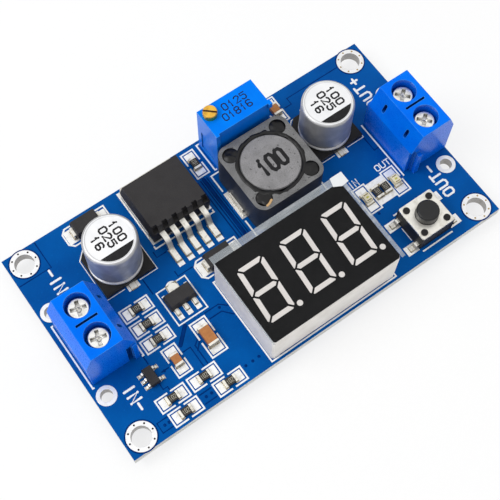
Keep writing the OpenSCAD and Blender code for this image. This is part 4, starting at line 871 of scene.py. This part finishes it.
# %% Letters from strokes
GLYPHS = {
    "0": "10-30-41-45-36-16-05-01-10", "O": "10-30-41-45-36-16-05-01-10",
    "1": "14-26-20", "2": "05-16-36-45-44-00-40", "5": "46-06-04-34-43-41-30-10-01",
    "6": "45-36-16-05-01-10-30-41-42-33-13-02",
    "8": "13-04-05-16-36-45-44-33-13-02-01-10-30-41-42-33",
    "I": "20-26", "N": "00-06-40-46", "U": "06-01-10-30-41-46", "T": "06-46 26-20",
    "+": "03-43 21-25", "-": "03-43", " ": "",
}
ALONG_X, ALONG_Y = Vector((1, 0, 0)), Vector((0, 1, 0))


def written(text, centre, reading, width, height, pitch):
    """Stroke paths of a word about centre; up is left of reading."""
    up = Vector((-reading.y, reading.x, 0))
    paths = []
    for index, letter in enumerate(text):
        middle = centre + reading * (index - (len(text) - 1) / 2) * pitch * MM
        for stroke in GLYPHS[letter].split():
            path = []
            for cell in stroke.split("-"):
                across, tall = int(cell[0]) / 4 - 0.5, int(cell[1]) / 6 - 0.5
                shift = (reading * across * width + up * tall * height) * MM
                path.append(flat(middle + shift))
            paths.append(path)
    return paths


def lettering(name, paths, material, slot, stroke, lift, height=0.02):
    points, edges = chains(*paths)
    sizes = {"Width": stroke, "Height": height, "Lift": lift}
    return piece_from(name, LINES, points, edges, material, slot, **sizes)


words = written("IN-", on_board(4.78, 7.3), -ALONG_Y, 0.95, 1.6, 1.43)
words += written("-IN", on_board(4.95, 28.4), -ALONG_Y, 0.95, 1.6, 1.45)
words += written("OUT-", on_board(60.65, 8.9), ALONG_Y, 1.0, 1.6, 1.53)
words += written("OUT+", on_board(60.65, 27.6), ALONG_Y, 1.0, 1.6, 1.58)
lettering("board_words", words, white_ink, "white_ink", 0.38, BOARD_LEVEL, 0.03)
labels = written("IN", on_board(49.65, 15.85), ALONG_X, 0.62, 1.05, 0.85)
labels += written("OUT", on_board(55.25, 15.88), ALONG_X, 0.68, 0.95, 0.95)
lettering("light_labels", labels, white_ink, "white_ink", 0.2, BOARD_LEVEL, 0.03)

# %% [markdown]
# Each capacitor carries three short rows of numbers and a black segment
# over its minus side. The segment is a thin plate whose outline is the arc;
# closing the outline draws the chord.

# %% Print on the capacitors
CAN_FACE_R = 3.35
SEGMENT_AT = -1.95
ROWS = [("100", 1.6), ("025", -0.05), ("16", -1.7)]


def middle_of(node):
    """The middle of a CAD part's top."""
    low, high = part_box(node)
    return Vector(((low.x + high.x) / 2, (low.y + high.y) / 2, high.z))


def plate(name, outline, low, thick, material):
    """A flat piece from an outline of points, from height low, in metres."""
    mesh = bpy.data.meshes.new(name)
    shape = bmesh.new()
    rim = [shape.verts.new((p.x, p.y, low)) for p in outline]
    made = bmesh.ops.extrude_face_region(shape, geom=[shape.faces.new(rim)])
    tops = [v for v in made["geom"] if isinstance(v, bmesh.types.BMVert)]
    bmesh.ops.translate(shape, verts=tops, vec=Vector((0, 0, thick * MM)))
    bmesh.ops.recalc_face_normals(shape, faces=shape.faces)
    shape.to_mesh(mesh)
    mesh.materials.append(material)
    piece = bpy.data.objects.new(name, mesh)
    scene.collection.objects.link(piece)
    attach(piece, "module")
    print(name, len(mesh.polygons), "faces")
    return piece


def can_print(side):
    centre = middle_of(side + "_capacitor_can")
    level = centre.z / MM - 0.05
    paths = []
    for text, row in ROWS:
        at = centre + Vector((row, 0.45, 0)) * MM
        paths += written(text, at, -ALONG_Y, 0.8, 1.12, 1.2)
    lettering(side + "_can_numbers", paths, black_ink, "base_black", 0.3, level, 0.015)
    half = math.acos(-SEGMENT_AT / CAN_FACE_R)
    steps = 24
    arc = [-math.pi / 2 - half + 2 * half * i / steps for i in range(steps + 1)]
    rim = [centre + Vector((math.cos(a), math.sin(a), 0)) * CAN_FACE_R * MM for a in arc]
    plate(side + "_can_segment", rim, level * MM, 0.015, black_ink)


can_print("input")
can_print("output")

# %% [markdown]
# The inductor's drum, the trimmer's top and each chip resistor carry plain
# numbers as well. The resistors are one CAD part, so their places come from
# its separate solids.

# %% Print on the inductor, trimmer and resistors
def solids(node, floor_only=None):
    """Boxes of a CAD part's separate solids, or of their lowest slice in mm."""
    shape = bmesh.new()
    shape.from_mesh(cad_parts[node].data)
    bmesh.ops.remove_doubles(shape, verts=shape.verts, dist=1e-6)
    boxes, seen = [], set()
    for start in shape.verts:
        if start in seen:
            continue
        group, queue = [], [start]
        seen.add(start)
        while queue:
            point = queue.pop()
            group.append(point.co.copy())
            for edge in point.link_edges:
                other = edge.other_vert(point)
                if other not in seen:
                    seen.add(other)
                    queue.append(other)
        base = min(p.z for p in group)
        if floor_only:
            group = [p for p in group if p.z < base + floor_only * MM]
        boxes.append([Vector(f(p[i] for p in group) for i in range(3)) for f in (min, max)])
    shape.free()
    return boxes


drum = middle_of("inductor_drum")
value = written("100", drum + Vector((0.15, -0.1, 0)) * MM, ALONG_X, 1.1, 2.6, 1.6)
lettering("inductor_value", value, black_ink, "base_black", 0.6, drum.z / MM, 0.02)

case = middle_of("trimmer_case")
rows = written("0125", case + Vector((0.52, 0.98, 0)) * MM, ALONG_X, 0.72, 1.1, 1.08)
rows += written("01816", case + Vector((0.1, -0.51, 0)) * MM, ALONG_X, 0.72, 1.1, 1.02)
blue_black_ink = ink("blue_black_ink", chart(8, 24, 58), chart(20, 52, 110))
lettering("trimmer_numbers", rows, blue_black_ink, "base_black", 0.2, case.z / MM, 0.012)

codes = []
chips = solids("chip_resistors")
for low, high in chips:
    size, centre = high - low, (low + high) / 2
    reading = ALONG_X if size.x > size.y else ALONG_Y
    codes += written("102", centre, reading, 0.24, 0.6, 0.36)
pale_ink = ink("pale_ink", chart(196, 190, 170), chart(150, 144, 128))
lettering("resistor_codes", codes, pale_ink, "white_ink", 0.07, chips[0][1].z / MM, 0.008)
print("resistors:", len(chips))

# %% [markdown]
# Small plated holes carry copper from one face to the other. Under the mask
# each is a dark dimple. The mounting rings have eight such dots round them,
# so one tree puts a ring of flattened balls at every point it is given; a
# ring narrower than a ball merges into a single dimple.

# %% Vias and the dots on the mounting rings
VIAS = [
    (6.1, 1.7), (6.8, 1.7), (13.0, 1.7), (13.9, 1.7), (20.05, 2.15), (21.25, 2.15),
    (22.35, 2.2), (21.95, 11.4), (49.85, 9.8), (10.3, 8.15),
]


def dot_tree():
    graph = new_tree("dots", "Ring", "Dot", "Height", "Lift")
    centres, ring = given(graph, "Geometry"), given(graph, "Ring")
    places = {"Vertices": 8, "Radius": ring}
    places = graph.add("GeometryNodeMeshCircle", {}, places)
    rings = {"Points": centres, "Instance": places}
    rings = graph.add("GeometryNodeInstanceOnPoints", {}, rings)
    rings = graph.add("GeometryNodeRealizeInstances", {}, {"Geometry": rings})
    ball = {"Radius": given(graph, "Dot"), "Subdivisions": 2}
    ball = graph.add("GeometryNodeMeshIcoSphere", {}, ball)
    dots = {"Points": rings, "Instance": ball}
    dots = graph.add("GeometryNodeInstanceOnPoints", {}, dots)
    flatness = graph.add("ShaderNodeMath", {"operation": "DIVIDE"},
                         {0: given(graph, "Height"), 1: given(graph, "Dot")})
    dots = graph.add("GeometryNodeRealizeInstances", {}, {"Geometry": dots})
    return finished(graph, pressed(graph, dots, flatness, given(graph, "Lift")))


DOTS = dot_tree()
vias = [flat(on_board(x, y)) for x, y in VIAS]
piece_from("via_dimples", DOTS, vias, [], dark, "board_blue",
           Ring=0.08, Dot=0.16, Height=0.012, Lift=BOARD_LEVEL)
SMALLEST_RING = 3.8
rings = [low + (high - low) / 2 for low, high in solids("plated_holes")
         if (high - low).x > SMALLEST_RING * MM]
print("mounting rings:", len(rings))
stitch_dark = ink("stitch_dark", chart(38, 28, 20), chart(70, 56, 40))
stitch_gold = ink("stitch_gold", chart(176, 148, 96), chart(120, 96, 60))
for name, ends, colour in (("input", -1, stitch_dark), ("output", 1, stitch_gold)):
    centres = [flat(c) for c in rings if c.x * ends > 0]
    piece_from(name + "_ring_dots", DOTS, centres, [], colour, "tinned",
               Ring=1.86, Dot=0.15, Height=0.01, Lift=land_top / MM)

# %% [markdown]
# Melted solder climbs a little up every chip end and lead. A bead along the foot of each,
# where metal meets the land, softens the edge. Its dark brown is partly a flux stain and
# partly a painted dark reflection of the fillet. The feet are the lowest slices of the CAD
# solids.

# %% Solder beads round the feet
FOOT_NODES = [
    "chip_end_caps", "input_diode_leads", "catch_diode_leads",
    "meter_regulator_leads", "sense_chip_leads", "regulator_leads",
    "switch_leads", "capacitor_leads",
]
FOOT_SLICE = 0.12
bead_paths = []
for node in FOOT_NODES:
    for low, high in solids(node, floor_only=FOOT_SLICE):
        corners = [(low.x, low.y), (high.x, low.y), (high.x, high.y), (low.x, high.y)]
        loop = corners + corners[:1]
        bead_paths.append([Vector((x, y, 0)) for x, y in loop])
bead_points, bead_edges = chains(*bead_paths)
# dark brown stain: partly flux, partly a painted dark reflection of the concave fillet
flux_solder = tinned("flux_solder", chart(206, 194, 166), chart(66, 52, 34), 1.0, 0.02, 0.9)
piece_from("solder_beads", LINES, bead_points, bead_edges, flux_solder, "solder",
           Width=0.26, Height=0.16, Lift=land_top / MM)

# %% [markdown]
# A light's clear lens shows the lead frame under it: two dark bars and a
# small yellow die between them. They are short strokes on the lens.

# %% Marks in the lights
LENS_MIN_HEIGHT = 0.45
BAR_AT, BAR_HALF, DIE_HALF = 0.48, 0.34, 0.1
bars, dies = [], []
for low, high in solids("status_lights"):
    if (high - low).z < LENS_MIN_HEIGHT * MM:
        continue
    centre = (low + high) / 2
    lens_top = high.z / MM
    for along in (-BAR_AT, BAR_AT):
        bars.append([flat(centre + Vector((side * BAR_HALF, along, 0)) * MM)
                     for side in (-1, 1)])
    dies.append([flat(centre + Vector((side * DIE_HALF, 0, 0)) * MM)
                 for side in (-1, 1)])
bar_brown = ink("bar_brown", chart(128, 112, 62), chart(96, 80, 44))
die_yellow = ink("die_yellow", chart(206, 200, 96), chart(170, 160, 70))
lettering("light_bars", bars, bar_brown, "light_cream", 0.14, lens_top, 0.02)
lettering("light_dies", dies, die_yellow, "light_cream", 0.3, lens_top, 0.03)

# %% [markdown]
# Black glue holds the drum in its shield: it fills most of the ring between
# them and swells in the four corner pockets. A swept ring and four pressed
# balls, roughened a little by noise, look poured rather than cut.

# %% Glue in the inductor
GLUE_RING, GLUE_BEAD = 4.9, 0.42
POCKET_REACH, POCKET_R, GLUE_DROP = 5.75, 1.45, 0.36
POCKET_FLATNESS = 0.28
RISE, SWAY = 0.0005, 0.0012


def glue_tree():
    graph = new_tree("glue", "Ring", "Bead", "Pocket Reach", "Pocket", "Drop")
    path = {"Resolution": 96, "Radius": given(graph, "Ring")}
    path = graph.add("GeometryNodeCurvePrimitiveCircle", {}, path)
    section = {"Resolution": 12, "Radius": given(graph, "Bead")}
    section = graph.add("GeometryNodeCurvePrimitiveCircle", {}, section)
    ring = {"Curve": path, "Profile Curve": section}
    ring = graph.add("GeometryNodeCurveToMesh", {}, ring)
    corners = {"Vertices": 4, "Radius": given(graph, "Pocket Reach")}
    corners = graph.add("GeometryNodeMeshCircle", {}, corners)
    quarter = {"Geometry": corners, "Rotation": (0, 0, math.pi / 4)}
    corners = graph.add("GeometryNodeTransform", {}, quarter)
    blob = {"Radius": given(graph, "Pocket"), "Segments": 32, "Rings": 16}
    blob = graph.add("GeometryNodeMeshUVSphere", {}, blob)
    press = {"Geometry": blob, "Scale": (1, 1, POCKET_FLATNESS)}
    blob = graph.add("GeometryNodeTransform", {}, press)
    blobs = {"Points": corners, "Instance": blob}
    blobs = graph.add("GeometryNodeInstanceOnPoints", {}, blobs)
    both = graph.add("GeometryNodeJoinGeometry", {}, {"Geometry": [ring, blobs]})
    both = graph.add("GeometryNodeRealizeInstances", {}, {"Geometry": both})
    waves = graph.add("ShaderNodeTexNoise", {}, {"Scale": 900.0, "Detail": 2.0})
    rise = (waves - 0.5) * RISE
    sway = graph.add("ShaderNodeTexNoise", {}, {"Scale": 500.0, "Detail": 3.0})
    sway = (sway - 0.5) * SWAY
    offset = {0: sway, 1: sway, 2: rise - given(graph, "Drop")}
    offset = graph.add("ShaderNodeCombineXYZ", {}, offset)
    both = graph.add("GeometryNodeSetPosition", {}, {"Geometry": both, "Offset": offset})
    poured = {"Points": given(graph, "Geometry"), "Instance": both}
    return finished(graph, graph.add("GeometryNodeInstanceOnPoints", {}, poured))


glue_black = moulded("glue_black", chart(28, 27, 28), chart(18, 18, 19), chart(48, 48, 50),
                     0.3, 0.4, 0.03, shine=0.35)
piece_from("inductor_glue", glue_tree(), [drum], [], glue_black, "base_black",
           **{"Ring": GLUE_RING, "Bead": GLUE_BEAD, "Pocket Reach": POCKET_REACH,
              "Pocket": POCKET_R, "Drop": GLUE_DROP})

# %% [markdown]
# A thread of older tan glue has dried on the shield's corner beside the
# display. It is one bent stroke in the corner pocket.

# %% Dried thread of tan glue
shield_low, shield_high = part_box("inductor_shield")
corner = Vector((shield_low.x, shield_low.y, 0))
THREAD = [(2.5, 1.0), (2.0, 0.72), (1.5, 0.6)]
thread = [[corner + Vector((x, y, 0)) * MM for x, y in THREAD]]
tan_glue = ink("tan_glue", chart(204, 166, 118), chart(150, 112, 70))
lettering("tan_glue_thread", thread, tan_glue, "base_black", 0.36, shield_high.z / MM, 0.06)
